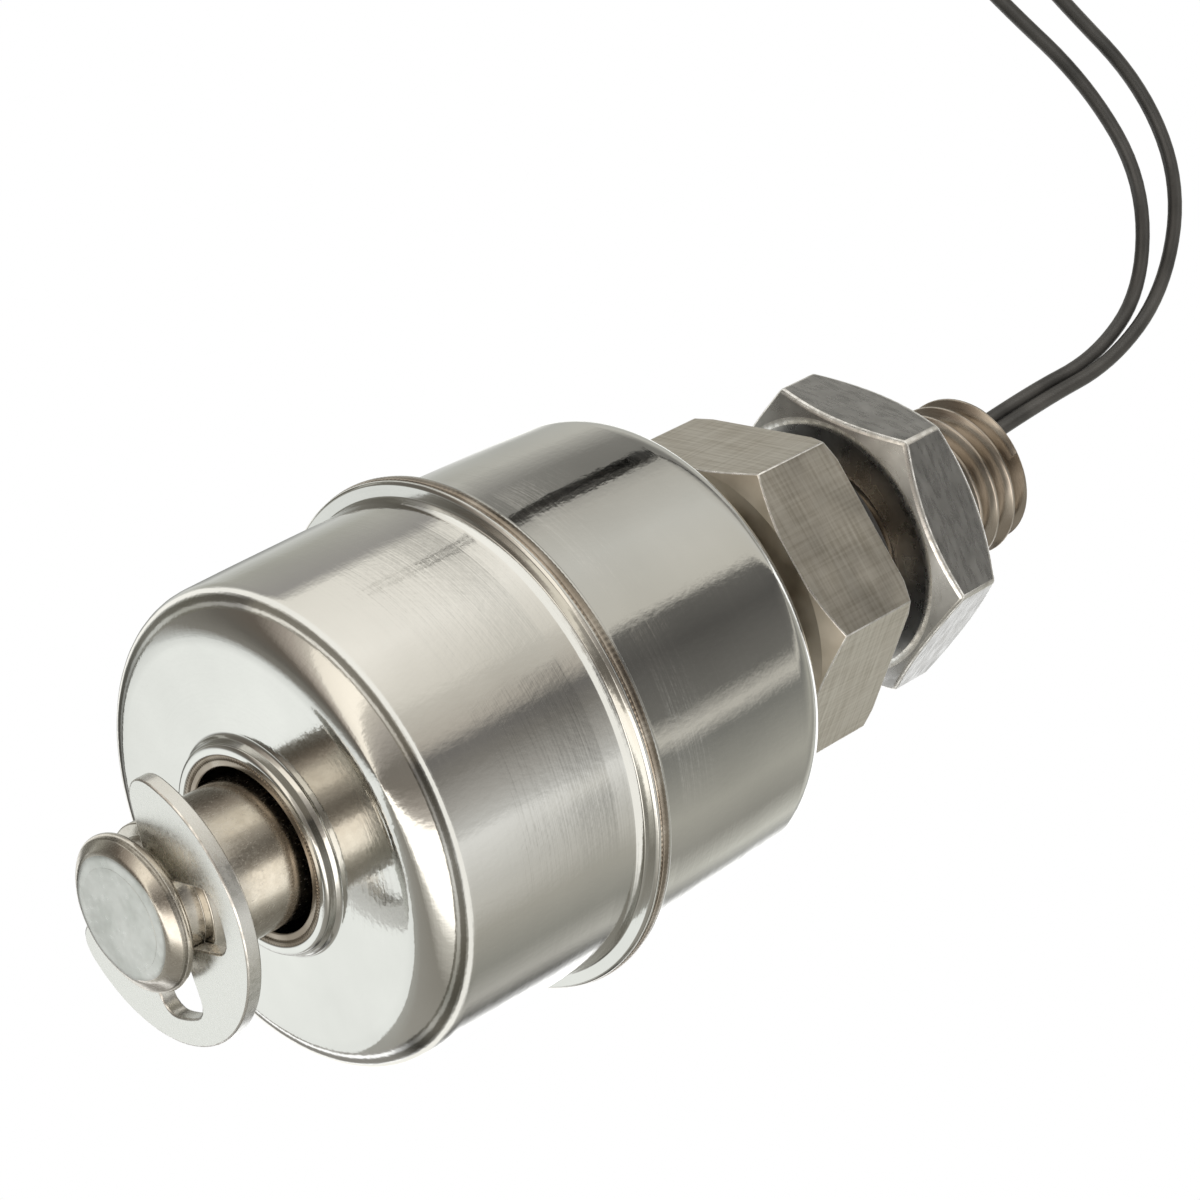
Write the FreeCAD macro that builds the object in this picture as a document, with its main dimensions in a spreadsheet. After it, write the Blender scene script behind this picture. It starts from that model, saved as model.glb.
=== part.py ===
import FreeCAD, Part
import math
import os

import Sketcher

# A float level switch: a drum float on a stainless stem, held to a tank wall by its threaded tail.
# Lengths are in millimetres. Z runs along the stem, from its tip up to the leads, and the origin
# is on the axis at the back of the hex body, where the gasket seats.

# Driving dimensions: alias, value
SIZES = [
    ("thread_diameter", 9.9),
    ("thread_length", 17.5),
    ("thread_chamfer", 0.8),
    ("thread_pitch", 1.5),
    ("thread_depth", 0.9),
    ("thread_runout", 1.5),
    ("thread_bore", 6.0),
    ("hex_flats", 18.0),
    ("hex_thickness", 6.65),
    ("hex_front_chamfer", 0.85),
    ("hex_front_chamfer_angle", 33.4),
    ("hex_back_chamfer", 0.35),
    ("hex_turn_angle", 40.3),
    ("stem_diameter", 8.4),
    ("stem_bore", 7.0),
    ("stem_reach", 43.05),
    ("stem_seat_depth", 4.65),
    ("head_swell", 0.2),
    ("head_round", 0.75),
    ("groove_diameter", 7.0),
    ("groove_slope", 0.7),
    ("plug_diameter", 5.8),
    ("plug_length", 4.8),
    ("clip_setback", 1.9),
    ("clip_thickness", 0.9),
    ("clip_play", 0.05),
    ("clip_diameter", 15.9),
    ("clip_corner_round", 2.3),
    ("clip_mouth_angle", 57.0),
    ("clip_side_prong_angle", 66.0),
    ("clip_side_prong_end_angle", 107.0),
    ("clip_lobe_angle", 122.0),
    ("clip_lobe_end_angle", 155.0),
    ("clip_lobe_diameter", 12.7),
    ("clip_lobe_round", 0.7),
    ("clip_middle_prong_angle", 171.0),
    ("clip_turn_angle", 136.5),
    ("float_gap", 3.95),
    ("float_length", 29.6),
    ("float_diameter", 28.0),
    ("float_crown", 0.25),
    ("float_corner", 2.6),
    ("shell_wall", 0.4),
    ("seam_rim", 1.05),
    ("seam_flange", 0.65),
    ("seam_flare", 0.6),
    ("collar_diameter", 12.0),
    ("collar_height", 0.8),
    ("collar_root", 0.3),
    ("collar_bevel", 0.3),
    ("inner_tube_bore", 9.5),
    ("inner_tube_wall", 0.5),
    ("inner_tube_setback", 0.12),
    ("magnet_diameter", 18.0),
    ("magnet_length", 8.0),
    ("magnet_play", 0.12),
    ("spacer_wall", 1.6),
    ("gasket_diameter", 16.0),
    ("gasket_thickness", 1.3),
    ("gasket_play", 0.05),
    ("nut_flats", 17.0),
    ("nut_thickness", 5.0),
    ("nut_face_diameter", 16.0),
    ("nut_chamfer_angle", 30.0),
    ("nut_countersink", 0.5),
    ("nut_turn_angle", 52.6),
    ("nut_play", 0.05),
    ("nut_gap", 2.55),
    ("reed_above_plug", 2.9),
    ("reed_glass_diameter", 2.4),
    ("reed_glass_wall", 0.3),
    ("reed_glass_length", 14.0),
    ("reed_seal_length", 1.6),
    ("reed_seal_taper", 0.8),
    ("reed_glass_bevel", 0.3),
    ("reed_terminal_length", 3.0),
    ("reed_terminal_diameter", 0.5),
    ("blade_width", 1.1),
    ("blade_thickness", 0.2),
    ("blade_overlap", 1.2),
    ("blade_gap", 0.08),
    ("sleeve_bore", 4.6),
    ("sleeve_wall", 0.2),
    ("sleeve_margin", 2.0),
    ("sleeve_play", 0.05),
    ("wire_diameter", 0.6),
    ("solder_diameter", 1.1),
    ("solder_length", 1.6),
    ("potting_recess", 1.0),
    ("lead_diameter", 0.95),
    ("lead_core_diameter", 0.45),
    ("lead_strip_length", 2.4),
    ("coil_depth", 8.0),
    ("coil_offset", 43.5),
    ("coil_mid_diameter", 11.2),
    ("coil_pitch", 0.96),
    ("coil_layers", 4),
    ("coil_slack", 0.08),
    ("drop_length", 12.0),
    ("lead_tip_length", 5.0),
    ("tie_width", 1.6),
    ("tie_thickness", 0.6),
]

# Places along the axis and other values that follow from the sizes
PLACES = [
    ("tip_z", "-Sizes.hex_thickness - Sizes.stem_reach"),
    ("seat_z", "-Sizes.hex_thickness + Sizes.stem_seat_depth"),
    ("head_radius", "Sizes.stem_diameter / 2 + Sizes.head_swell"),
    ("clip_z", "tip_z + Sizes.clip_setback"),
    ("groove_end_z", "clip_z + Sizes.clip_thickness + Sizes.clip_play"),
    ("plug_end_z", "tip_z + Sizes.plug_length"),
    ("float_half", "Sizes.float_length / 2"),
    ("seam_z", "-Sizes.hex_thickness - Sizes.float_gap - float_half"),
    ("float_end_radius", "Sizes.float_diameter / 2 - Sizes.float_crown"),
    ("tube_radius", "Sizes.inner_tube_bore / 2 + Sizes.inner_tube_wall"),
    ("tube_half", "float_half + Sizes.collar_height - Sizes.inner_tube_setback"),
    ("magnet_radius", "tube_radius + Sizes.magnet_play"),
    ("nut_z", "Sizes.gasket_thickness + Sizes.nut_gap"),
    ("nut_bore_radius", "Sizes.thread_diameter / 2 + Sizes.nut_play"),
    ("potting_top_z", "Sizes.thread_length - Sizes.potting_recess"),
    ("reed_reach", "Sizes.reed_glass_length / 2 + Sizes.reed_terminal_length"),
    ("sleeve_low_z", "plug_end_z + Sizes.reed_above_plug"),
    ("reed_z", "sleeve_low_z + Sizes.sleeve_margin + reed_reach"),
    ("blade_root", "Sizes.reed_glass_length / 2 - Sizes.reed_seal_length - Sizes.reed_seal_taper"),
    ("reed_x", "Sizes.reed_glass_diameter / 2 + Sizes.sleeve_play - Sizes.sleeve_bore / 2"),
    ("wire_x", "Sizes.sleeve_bore / 2 - Sizes.sleeve_play - Sizes.solder_diameter / 2"),
    ("wire_low_z", "reed_z - reed_reach - Sizes.wire_diameter / 2"),
    ("sleeve_length", "2 * reed_reach + 2 * Sizes.sleeve_margin"),
    ("joint_z", "reed_z + reed_reach"),
    ("insulation_z", "joint_z + Sizes.lead_strip_length"),
    ("drop_y", "(Sizes.coil_layers - 1) / 2 * Sizes.coil_pitch"),
    ("drop_x", "-Sizes.coil_offset - Sizes.coil_mid_diameter / 2 - drop_y"),
    ("coil_half", "drop_y + Sizes.lead_diameter / 2 + Sizes.coil_slack / 2"),
]

# How far a cutting profile runs past the metal
OVERCUT = "1"
# Share of a lead's shorter run that the arc at its end takes up
ARC_SHARE = 0.45

# Routes of the two leads, from the mouth of the bore over the arc to the coil: chosen points
LEAD_A_ROUTE = [
    (-1.95, 0.42, 16.5),
    (-2.70, 0.46, 24.0),
    (-2.60, 0.50, 31.3),
    (-5.30, 0.50, 37.3),
    (-12.0, 0.50, 40.0),
    (-19.5, 0.50, 36.9),
    (-26.6, 0.50, 30.8),
    (-34.6, 0.50, 24.9),
    (-42.4, 0.50, 19.4),
    (-46.74, 0.49, 15.64),
    (-49.27, 0.48, 12.04),
]
LEAD_B_ROUTE = [
    (-1.25, -0.42, 16.5),
    (-1.75, -0.46, 24.5),
    (-1.90, -0.50, 32.0),
    (-4.60, -0.50, 38.8),
    (-10.8, -0.50, 42.3),
    (-18.0, -0.50, 41.0),
    (-25.4, -0.50, 35.2),
    (-33.0, -0.50, 29.9),
    (-40.8, -0.50, 22.9),
    (-46.4, -0.49, 16.14),
    (-49.27, -0.48, 12.04),
]

doc = FreeCAD.newDocument("FloatLevelSwitch")


# Sheets
def make_sheet(name, rows, formula):
    sheet = doc.addObject("Spreadsheet::Sheet", name)
    for row, (alias, value) in enumerate(rows, start=1):
        cell = "B%d" % row
        sheet.set("A%d" % row, alias)
        sheet.set(cell, "=" + value if formula else str(value))
        sheet.setAlias(cell, alias)
    doc.recompute()
    return sheet


sizes = make_sheet("Sizes", SIZES, False)
places = make_sheet("Places", PLACES, True)


def number(expression):
    """The value that an expression has now, as a plain number."""
    value = sizes.evalExpression(expression)
    return float(getattr(value, "Value", value))


# Sketches
def plane_of(body, role):
    return [f for f in body.Origin.OriginFeatures if f.Role == role][0]


def new_body(name):
    return doc.addObject("PartDesign::Body", name)


def new_sketch(body, name, role):
    sketch = body.newObject("Sketcher::SketchObject", name)
    sketch.AttachmentSupport = [(plane_of(body, role), "")]
    sketch.MapMode = "FlatFace"
    return sketch


def bind(sketch, constraint, expression):
    index = sketch.addConstraint(constraint)
    sketch.setExpression("Constraints[%d]" % index, expression)


def arc_between(start, end, radius, side):
    """The short arc from start to end; side is 1 where it turns left on the way and -1 where right."""
    chord = end - start
    to_centre = math.sqrt(max(radius * radius - chord.Length ** 2 / 4, 0.0))
    left = FreeCAD.Vector(-chord.y, chord.x, 0).normalize()
    centre = (start + end) * 0.5 + left * to_centre * side
    first, last = (start, end) if side > 0 else (end, start)
    angles = [math.atan2(p.y - centre.y, p.x - centre.x) for p in (first, last)]
    circle = Part.Circle(centre, FreeCAD.Vector(0, 0, 1), radius)
    return Part.ArcOfCircle(circle, angles[0], angles[1])


def draw(sketch, points):
    """A closed outline. Each point is (across, along) or (across, along, radius, side), as
    expressions, where the last two bend the edge that leaves it."""
    spots = [FreeCAD.Vector(number(p[0]), number(p[1]), 0) for p in points]
    count = len(points)
    first = sketch.GeometryCount
    starts, ends = [], []
    for i, point in enumerate(points):
        start, end = spots[i], spots[(i + 1) % count]
        bent = len(point) == 4
        side = point[3] if bent else 1
        edge = arc_between(start, end, number(point[2]), side) if bent else Part.LineSegment(start, end)
        sketch.addGeometry(edge)
        starts.append(1 if side > 0 else 2)
        ends.append(2 if side > 0 else 1)
    for i in range(count):
        following = (i + 1) % count
        sketch.addConstraint(
            Sketcher.Constraint("Coincident", first + i, ends[i], first + following, starts[following])
        )
    for i, point in enumerate(points):
        edge, corner = first + i, starts[i]
        bind(sketch, Sketcher.Constraint("DistanceX", -1, 1, edge, corner, spots[i].x), point[0])
        bind(sketch, Sketcher.Constraint("DistanceY", -1, 1, edge, corner, spots[i].y), point[1])
        if len(point) == 4:
            bind(sketch, Sketcher.Constraint("Radius", edge, number(point[2])), point[2])
    return sketch


# Features
def turn(body, name, points, kind="PartDesign::Revolution"):
    """A profile spun about the stem's axis, as metal or, for a Groove, as a cut."""
    sketch = draw(new_sketch(body, name + "Profile", "XZ_Plane"), points)
    feature = body.newObject(kind, name)
    feature.Profile = sketch
    feature.ReferenceAxis = (sketch, ["V_Axis"])
    feature.Angle = 360
    doc.recompute()
    return feature


def pad(body, name, points, length, base=None):
    """An outline across the axis, made as thick as length from the base height up."""
    sketch = draw(new_sketch(body, name + "Outline", "XY_Plane"), points)
    if base:
        sketch.setExpression(".AttachmentOffset.Base.z", base)
    feature = body.newObject("PartDesign::Pad", name)
    feature.Profile = sketch
    feature.setExpression("Length", length)
    doc.recompute()
    return feature


def turned_piece(name, points):
    body = new_body(name)
    turn(body, name + "Turned", points)
    return body


def hexagon(flats, first_angle):
    """The corners of a hexagon, by its width across flats and the angle of its first corner."""
    corner = "%s / 2 / cos(30 deg)" % flats
    angles = ["(%s + %d) * 1 deg" % (first_angle, 60 * k) for k in range(6)]
    return [("%s * cos(%s)" % (corner, a), "%s * sin(%s)" % (corner, a)) for a in angles]


def cylinder(name, radius, height, x="0", y="0", z="0"):
    post = doc.addObject("Part::Cylinder", name)
    post.setExpression("Radius", radius)
    post.setExpression("Height", height)
    post.setExpression("Placement.Base.x", x)
    post.setExpression("Placement.Base.y", y)
    post.setExpression("Placement.Base.z", z)
    return post


def block(name, length, width, height, x, y, z):
    box = doc.addObject("Part::Box", name)
    for side, value in (("Length", length), ("Width", width), ("Height", height)):
        box.setExpression(side, value)
    for axis, value in (("x", x), ("y", y), ("z", z)):
        box.setExpression("Placement.Base." + axis, value)
    return box


def cut(name, base, tool):
    result = doc.addObject("Part::Cut", name)
    result.Base = base
    result.Tool = tool
    return result


def fuse(name, shapes):
    result = doc.addObject("Part::MultiFuse", name)
    result.Shapes = shapes
    return result


# Stem and hex body
def thread_rings(crest):
    """The screw thread as V-shaped rings a pitch apart, with a root half way from crest to crest."""
    room = number("Sizes.thread_length - Sizes.thread_chamfer - Sizes.thread_runout")
    points = [(crest, "Sizes.thread_runout")]
    for k in range(int(room / number("Sizes.thread_pitch") - 0.1)):
        for turns, radius in ((k + 0.5, crest + " - Sizes.thread_depth"), (k + 1, crest)):
            points.append((radius, "Sizes.thread_runout + %.1f * Sizes.thread_pitch" % turns))
    return points


def make_hex_body():
    """Turned from hexagon bar, with its threaded tail in one piece and a bore right through."""
    body = new_body("HexBody")
    corners = hexagon("Sizes.hex_flats", "Sizes.hex_turn_angle")
    pad(body, "HexHead", corners, "Sizes.hex_thickness", "-Sizes.hex_thickness")
    tail = "Sizes.thread_diameter / 2"
    turn(body, "Tail", [
        ("0", "-Sizes.hex_thickness / 2"),
        (tail, "-Sizes.hex_thickness / 2"),
        *thread_rings(tail),
        (tail, "Sizes.thread_length - Sizes.thread_chamfer"),
        (tail + " - Sizes.thread_chamfer", "Sizes.thread_length"),
        ("0", "Sizes.thread_length"),
    ])
    corner = "Sizes.hex_flats / 2 / cos(30 deg)"
    slope = "tan(Sizes.hex_front_chamfer_angle * 1 deg)"
    turn(body, "FrontChamfer", [
        ("%s - Sizes.hex_front_chamfer / %s" % (corner, slope), "-Sizes.hex_thickness"),
        ("%s + %s" % (corner, OVERCUT), "-Sizes.hex_thickness"),
        ("%s + %s" % (corner, OVERCUT),
         "-Sizes.hex_thickness + Sizes.hex_front_chamfer + %s * %s" % (OVERCUT, slope)),
    ], "PartDesign::Groove")
    chamfer = "Sizes.hex_back_chamfer"
    turn(body, "BackChamfer", [
        ("%s - %s / tan(30 deg)" % (corner, chamfer), "0"),
        ("%s + %s" % (corner, OVERCUT), "0"),
        ("%s + %s" % (corner, OVERCUT), "-%s - %s * tan(30 deg)" % (chamfer, OVERCUT)),
    ], "PartDesign::Groove")
    seat, bore = "Sizes.stem_diameter / 2", "Sizes.thread_bore / 2"
    turn(body, "Bore", [
        ("0", "-Sizes.hex_thickness"),
        (seat, "-Sizes.hex_thickness"),
        (seat, "Places.seat_z"),
        (bore, "Places.seat_z"),
        (bore, "Sizes.thread_length"),
        ("0", "Sizes.thread_length"),
    ], "PartDesign::Groove")
    return body


def make_stem_tube():
    """Drawn tube with its end rounded over and the clip's groove rolled in behind the head."""
    head, groove = "Places.head_radius", "Sizes.groove_diameter / 2"
    plug, stem = "Sizes.plug_diameter / 2", "Sizes.stem_diameter / 2"
    return turned_piece("StemTube", [
        (plug, "Places.tip_z"),
        (head + " - Sizes.head_round", "Places.tip_z", "Sizes.head_round", 1),
        (head, "Places.tip_z + Sizes.head_round"),
        (head, "Places.clip_z - Sizes.groove_slope"),
        (groove, "Places.clip_z"),
        (groove, "Places.groove_end_z"),
        (stem, "Places.groove_end_z"),
        (stem, "Places.seat_z"),
        ("Sizes.stem_bore / 2", "Places.seat_z"),
        ("Sizes.stem_bore / 2", "Places.plug_end_z"),
        (plug, "Places.plug_end_z"),
    ])


def make_tip_plug():
    return cylinder("TipPlug", "Sizes.plug_diameter / 2", "Sizes.plug_length", z="Places.tip_z")


def polar(radius, angle):
    """A point of the clip, its angle in degrees from the middle of the mouth."""
    return ("(%s) * cos((%s) * 1 deg)" % (radius, angle), "(%s) * sin((%s) * 1 deg)" % (radius, angle))


def both_sides(half):
    """A whole outline from its half, whose first and last points lie on the line of symmetry. Each
    entry is (radius, angle, bend), where bend is (radius, side) or empty for the edge leaving it."""
    there = [polar(radius, angle) + bend for radius, angle, bend in half[:-1]]
    back = []
    for (_, _, bend), (radius, angle, _) in zip(half[-2::-1], half[:0:-1]):
        back.append(polar(radius, "-(%s)" % angle) + bend)
    return there + back


def make_retaining_clip():
    """Flat spring clip: three prongs grip the groove, with two lobes cut out between them."""
    rim, lobe = "Sizes.clip_diameter / 2", "Sizes.clip_lobe_diameter / 2"
    grip = "Sizes.groove_diameter / 2"
    corner, hollow = "Sizes.clip_corner_round", "Sizes.clip_lobe_round"
    arm = "Sizes.clip_mouth_angle"
    arm_bend = "%s + %s / (%s) * 180 / pi" % (arm, corner, rim)
    lobe_bend = "%s / (%s) * 180 / pi" % (hollow, lobe)
    half = [
        (rim, "180", (rim, -1)),
        (rim, arm_bend, (corner, -1)),
        ("%s - %s" % (rim, corner), arm, ()),
        (grip, "Sizes.clip_side_prong_angle", (grip, 1)),
        (grip, "Sizes.clip_side_prong_end_angle", ()),
        ("%s - %s" % (lobe, hollow), "Sizes.clip_lobe_angle - " + lobe_bend, (hollow, 1)),
        (lobe, "Sizes.clip_lobe_angle", (lobe, 1)),
        (lobe, "Sizes.clip_lobe_end_angle", (hollow, 1)),
        ("%s - %s" % (lobe, hollow), "Sizes.clip_lobe_end_angle + " + lobe_bend, ()),
        (grip, "Sizes.clip_middle_prong_angle", (grip, 1)),
        (grip, "180", ()),
    ]
    body = new_body("RetainingClip")
    pad(body, "ClipBlank", both_sides(half), "Sizes.clip_thickness")
    body.setExpression("Placement.Base.z", "Places.clip_z")
    body.Placement.Rotation = FreeCAD.Rotation(FreeCAD.Vector(0, 0, 1), number("Sizes.clip_turn_angle"))
    return body


# Float
def make_float_shell(name, side):
    """Half of the float, drawn from sheet: a flange at the seam, a slightly crowned wall and a bore
    collar. Heights run outwards from the seam, towards the tip where side is -1."""
    def height(expression):
        return "Places.seam_z + %d * (%s)" % (side, expression)

    wall, flange = "Sizes.shell_wall", "Sizes.seam_flange"
    skirt, end = "Sizes.float_diameter / 2", "Places.float_end_radius"
    corner, flare = "Sizes.float_corner", "Sizes.seam_flare"
    face, collar = "Places.float_half", "Sizes.collar_diameter / 2"
    root, bevel = "Sizes.collar_root", "Sizes.collar_bevel"
    # Inside, where nobody looks, two flats follow the corner's round
    half_way = "(%s - %s) * cos(45 deg)" % (corner, wall)
    rim = skirt + " + Sizes.seam_rim"
    top = face + " + Sizes.collar_height"
    return turned_piece(name, [
        (rim, height("0")),
        (rim, height(flange)),
        ("%s + %s" % (skirt, flare), height(flange)),
        (skirt, height("%s + %s" % (flange, flare))),
        (end, height("%s - %s" % (face, corner)), corner, side),
        ("%s - %s" % (end, corner), height(face)),
        ("%s + %s" % (collar, root), height(face)),
        (collar, height("%s + %s" % (face, root))),
        (collar, height("%s - %s" % (top, bevel))),
        ("%s - %s" % (collar, bevel), height(top)),
        ("Places.tube_radius", height(top)),
        ("Places.tube_radius", height("%s - %s" % (face, wall))),
        ("%s - %s" % (end, corner), height("%s - %s" % (face, wall))),
        ("%s - %s + %s" % (end, corner, half_way), height("%s - %s + %s" % (face, corner, half_way))),
        ("%s - %s" % (end, wall), height("%s - %s" % (face, corner))),
        ("%s - %s" % (skirt, wall), height("%s + %s" % (flange, flare))),
        ("%s - %s" % (skirt, wall), height("0")),
    ])


def make_float_inner_tube():
    """Plain tube through the float, welded to both collars just inside their rims."""
    bore, outside = "Sizes.inner_tube_bore / 2", "Places.tube_radius"
    low, high = "Places.seam_z - Places.tube_half", "Places.seam_z + Places.tube_half"
    return turned_piece("FloatInnerTube", [(bore, low), (outside, low), (outside, high), (bore, high)])


def make_float_magnet():
    inside, outside = "Places.magnet_radius", "Sizes.magnet_diameter / 2"
    low = "Places.seam_z - Sizes.magnet_length / 2"
    high = "Places.seam_z + Sizes.magnet_length / 2"
    return turned_piece("FloatMagnet", [(inside, low), (outside, low), (outside, high), (inside, high)])


def make_magnet_spacer(name, side):
    """Plastic sleeve between the shell's end and the magnet."""
    inside = "Places.magnet_radius"
    outside = inside + " + Sizes.spacer_wall"
    near = "Places.seam_z + %d * (Sizes.magnet_length / 2 + Sizes.magnet_play)" % side
    far = "Places.seam_z + %d * (Places.float_half - Sizes.shell_wall)" % side
    return turned_piece(name, [(inside, near), (outside, near), (outside, far), (inside, far)])


# Gasket and nut
def make_sealing_gasket():
    inside = "Sizes.thread_diameter / 2 + Sizes.gasket_play"
    outside, thick = "Sizes.gasket_diameter / 2", "Sizes.gasket_thickness"
    return turned_piece("SealingGasket", [(inside, "0"), (outside, "0"), (outside, thick), (inside, thick)])


def make_lock_nut():
    """Thin nut, its corners chamfered on both faces, with a countersink at each end of the bore."""
    body = new_body("LockNut")
    low, high = "Places.nut_z", "Places.nut_z + Sizes.nut_thickness"
    pad(body, "NutBlank", hexagon("Sizes.nut_flats", "Sizes.nut_turn_angle"), "Sizes.nut_thickness", low)
    face, slope = "Sizes.nut_face_diameter / 2", "tan(Sizes.nut_chamfer_angle * 1 deg)"
    reach = "Sizes.nut_flats / 2 / cos(30 deg) + " + OVERCUT
    for name, level, side in (("Front", low, 1), ("Back", high, -1)):
        drop = "%s + %d * (%s - %s) * %s" % (level, side, reach, face, slope)
        points = [(face, level), (reach, drop), (reach, level)]
        turn(body, name + "Chamfer", points, "PartDesign::Groove")
    bore, sink = "Places.nut_bore_radius", "Sizes.nut_countersink"
    wide = bore + " + " + sink
    turn(body, "NutBore", [
        ("0", low),
        (wide, low),
        (bore, low + " + " + sink),
        (bore, "%s - %s" % (high, sink)),
        (wide, high),
        ("0", high),
    ], "PartDesign::Groove")
    return body


# Reed switch and what holds it
def make_reed_glass():
    """Capsule drawn down to a solid seal at each end, round the two terminals."""
    outside, wall = "Sizes.reed_glass_diameter / 2", "Sizes.reed_glass_wall"
    half, bevel = "Sizes.reed_glass_length / 2", "Sizes.reed_glass_bevel"
    terminal = "Sizes.reed_terminal_diameter / 2"
    seal = "(%s - Sizes.reed_seal_length)" % half
    body = turned_piece("ReedGlass", [
        (terminal, "Places.reed_z - " + half),
        ("%s - %s" % (outside, bevel), "Places.reed_z - " + half),
        (outside, "Places.reed_z - %s + %s" % (half, bevel)),
        (outside, "Places.reed_z + %s - %s" % (half, bevel)),
        ("%s - %s" % (outside, bevel), "Places.reed_z + " + half),
        (terminal, "Places.reed_z + " + half),
        (terminal, "Places.reed_z + " + seal),
        ("%s - %s" % (outside, wall), "Places.reed_z + Places.blade_root"),
        ("%s - %s" % (outside, wall), "Places.reed_z - Places.blade_root"),
        (terminal, "Places.reed_z - " + seal),
    ])
    body.setExpression("Placement.Base.x", "Places.reed_x")
    return body


def make_reed_blade(name, side):
    """A round terminal, rolled flat inside the glass; the two blades face each other over a gap."""
    terminal_low = "Places.blade_root" if side > 0 else "-Places.reed_reach"
    terminal = cylinder(name + "Terminal", "Sizes.reed_terminal_diameter / 2",
                        "Places.reed_reach - Places.blade_root",
                        "Places.reed_x", "0", "Places.reed_z + " + terminal_low)
    length = "Places.blade_root + Sizes.blade_overlap / 2"
    low = "-Sizes.blade_overlap / 2" if side > 0 else "-Places.blade_root"
    offset = "Sizes.blade_gap / 2" if side > 0 else "-Sizes.blade_gap / 2 - Sizes.blade_thickness"
    blade = block(name + "Flat", "Sizes.blade_thickness", "Sizes.blade_width", length,
                  "Places.reed_x + " + offset, "-Sizes.blade_width / 2", "Places.reed_z + " + low)
    return fuse(name, [terminal, blade])


def make_return_wire():
    """Bare wire from under the lower terminal across the sleeve and up beside the glass."""
    radius, low = "Sizes.wire_diameter / 2", "Places.wire_low_z"
    upright = cylinder("WireUpright", radius, "Places.joint_z - " + low, "Places.wire_x", "0", low)
    foot = cylinder("WireFoot", radius, "Places.wire_x - Places.reed_x", "Places.reed_x", "0", low)
    foot.Placement.Rotation = FreeCAD.Rotation(FreeCAD.Vector(0, 1, 0), 90)
    ball = doc.addObject("Part::Sphere", "WireBend")
    ball.setExpression("Radius", radius)
    ball.setExpression("Placement.Base.x", "Places.wire_x")
    ball.setExpression("Placement.Base.z", low)
    return fuse("ReturnWire", [upright, foot, ball])


def make_solder(name, x, z, joined):
    """A short bead of solder round the ends that it joins."""
    bead = cylinder(name + "Bead", "Sizes.solder_diameter / 2", "Sizes.solder_length", x, "0",
                    "%s - Sizes.solder_length / 2" % z)
    return cut(name, bead, fuse(name + "Ends", joined))


def make_reed_sleeve():
    low, length = "Places.sleeve_low_z", "Places.sleeve_length"
    outside = cylinder("SleeveOutside", "Sizes.sleeve_bore / 2 + Sizes.sleeve_wall", length, z=low)
    inside = cylinder("SleeveInside", "Sizes.sleeve_bore / 2", length, z=low)
    return cut("ReedSleeve", outside, inside)


# Leads
def straight_tube(start, end, radius):
    """A round bar between two points, as a shape of its own."""
    start, end = FreeCAD.Vector(*start), FreeCAD.Vector(*end)
    return Part.makeCylinder(radius, (end - start).Length, start, end - start)


def mouth_of(route):
    """Where a lead leaves the resin: over its first point, at the resin's top."""
    return (route[0][0], route[0][1], number("Places.potting_top_z"))


def lead_path(route):
    """Straight runs joined by tangent arcs, each as large as its two runs allow."""
    points = [FreeCAD.Vector(*p) for p in [mouth_of(route)] + route[1:]]
    edges, radii, here = [], [], points[0]
    for before, corner, after in zip(points, points[1:], points[2:]):
        inward, outward = corner - before, after - corner
        shorter = min(inward.Length, outward.Length)
        turning = inward.getAngle(outward)
        setback = ARC_SHARE * shorter
        radii.append(setback / math.tan(turning / 2))
        inward.normalize()
        outward.normalize()
        start, end = corner - inward * setback, corner + outward * setback
        towards = (outward - inward).normalize()
        to_middle = radii[-1] / math.cos(turning / 2) - radii[-1]
        edges.append(Part.LineSegment(here, start).toShape())
        edges.append(Part.Arc(start, corner + towards * to_middle, end).toShape())
        here = end
    edges.append(Part.LineSegment(here, points[-1]).toShape())
    return Part.Wire(edges), radii


def make_lead(name, route):
    """A lead's free stretch, as a round tube along its route."""
    wire, radii = lead_path(route)
    radius = number("Sizes.lead_diameter") / 2
    mouth = FreeCAD.Vector(*mouth_of(route))
    section = Part.Wire(Part.makeCircle(radius, mouth, FreeCAD.Vector(*route[1]) - mouth))
    piece = doc.addObject("Part::Feature", name)
    piece.Shape = wire.makePipeShell([section], True, False)
    share = piece.Shape.Volume / (math.pi * radius ** 2 * wire.Length)
    print("%s: %.1f mm, smallest radius %.1f mm, volume is %.3f of section times length"
          % (name, wire.Length, min(radii), share))
    return piece


def make_lead_potted(name, x_expression, mouth):
    """A lead inside the resin: its bare end at the joint, then insulated up to the bore's mouth."""
    x, joint, start = number(x_expression), number("Places.joint_z"), number("Places.insulation_z")
    core = straight_tube((x, 0, joint), (x, 0, start), number("Sizes.lead_core_diameter") / 2)
    jacket = straight_tube((x, 0, start), mouth, number("Sizes.lead_diameter") / 2)
    piece = doc.addObject("Part::Feature", name)
    piece.Shape = core.fuse(jacket).removeSplitter()
    return piece


def make_lead_coil():
    """The outer shape of the two leads wound up together, upright in the plane of their arc."""
    body = new_body("LeadCoil")
    middle, half = "Sizes.coil_mid_diameter / 2", "Places.coil_half"
    near, far = "%s - %s" % (middle, half), "%s + %s" % (middle, half)
    turn(body, "CoilTurned", [(near, "-" + half), (far, "-" + half), (far, half), (near, half)])
    body.Placement.Rotation = FreeCAD.Rotation(FreeCAD.Vector(1, 0, 0), 90)
    body.setExpression("Placement.Base.x", "-Sizes.coil_offset")
    body.setExpression("Placement.Base.z", "Sizes.coil_depth")
    return body


def make_drop(name, side):
    """The end of a lead, hanging down from the outer side of the coil."""
    return cylinder(name, "Sizes.lead_diameter / 2", "Sizes.drop_length", "Places.drop_x",
                    "%d * Places.drop_y" % side, "Sizes.coil_depth - Sizes.drop_length")


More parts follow.
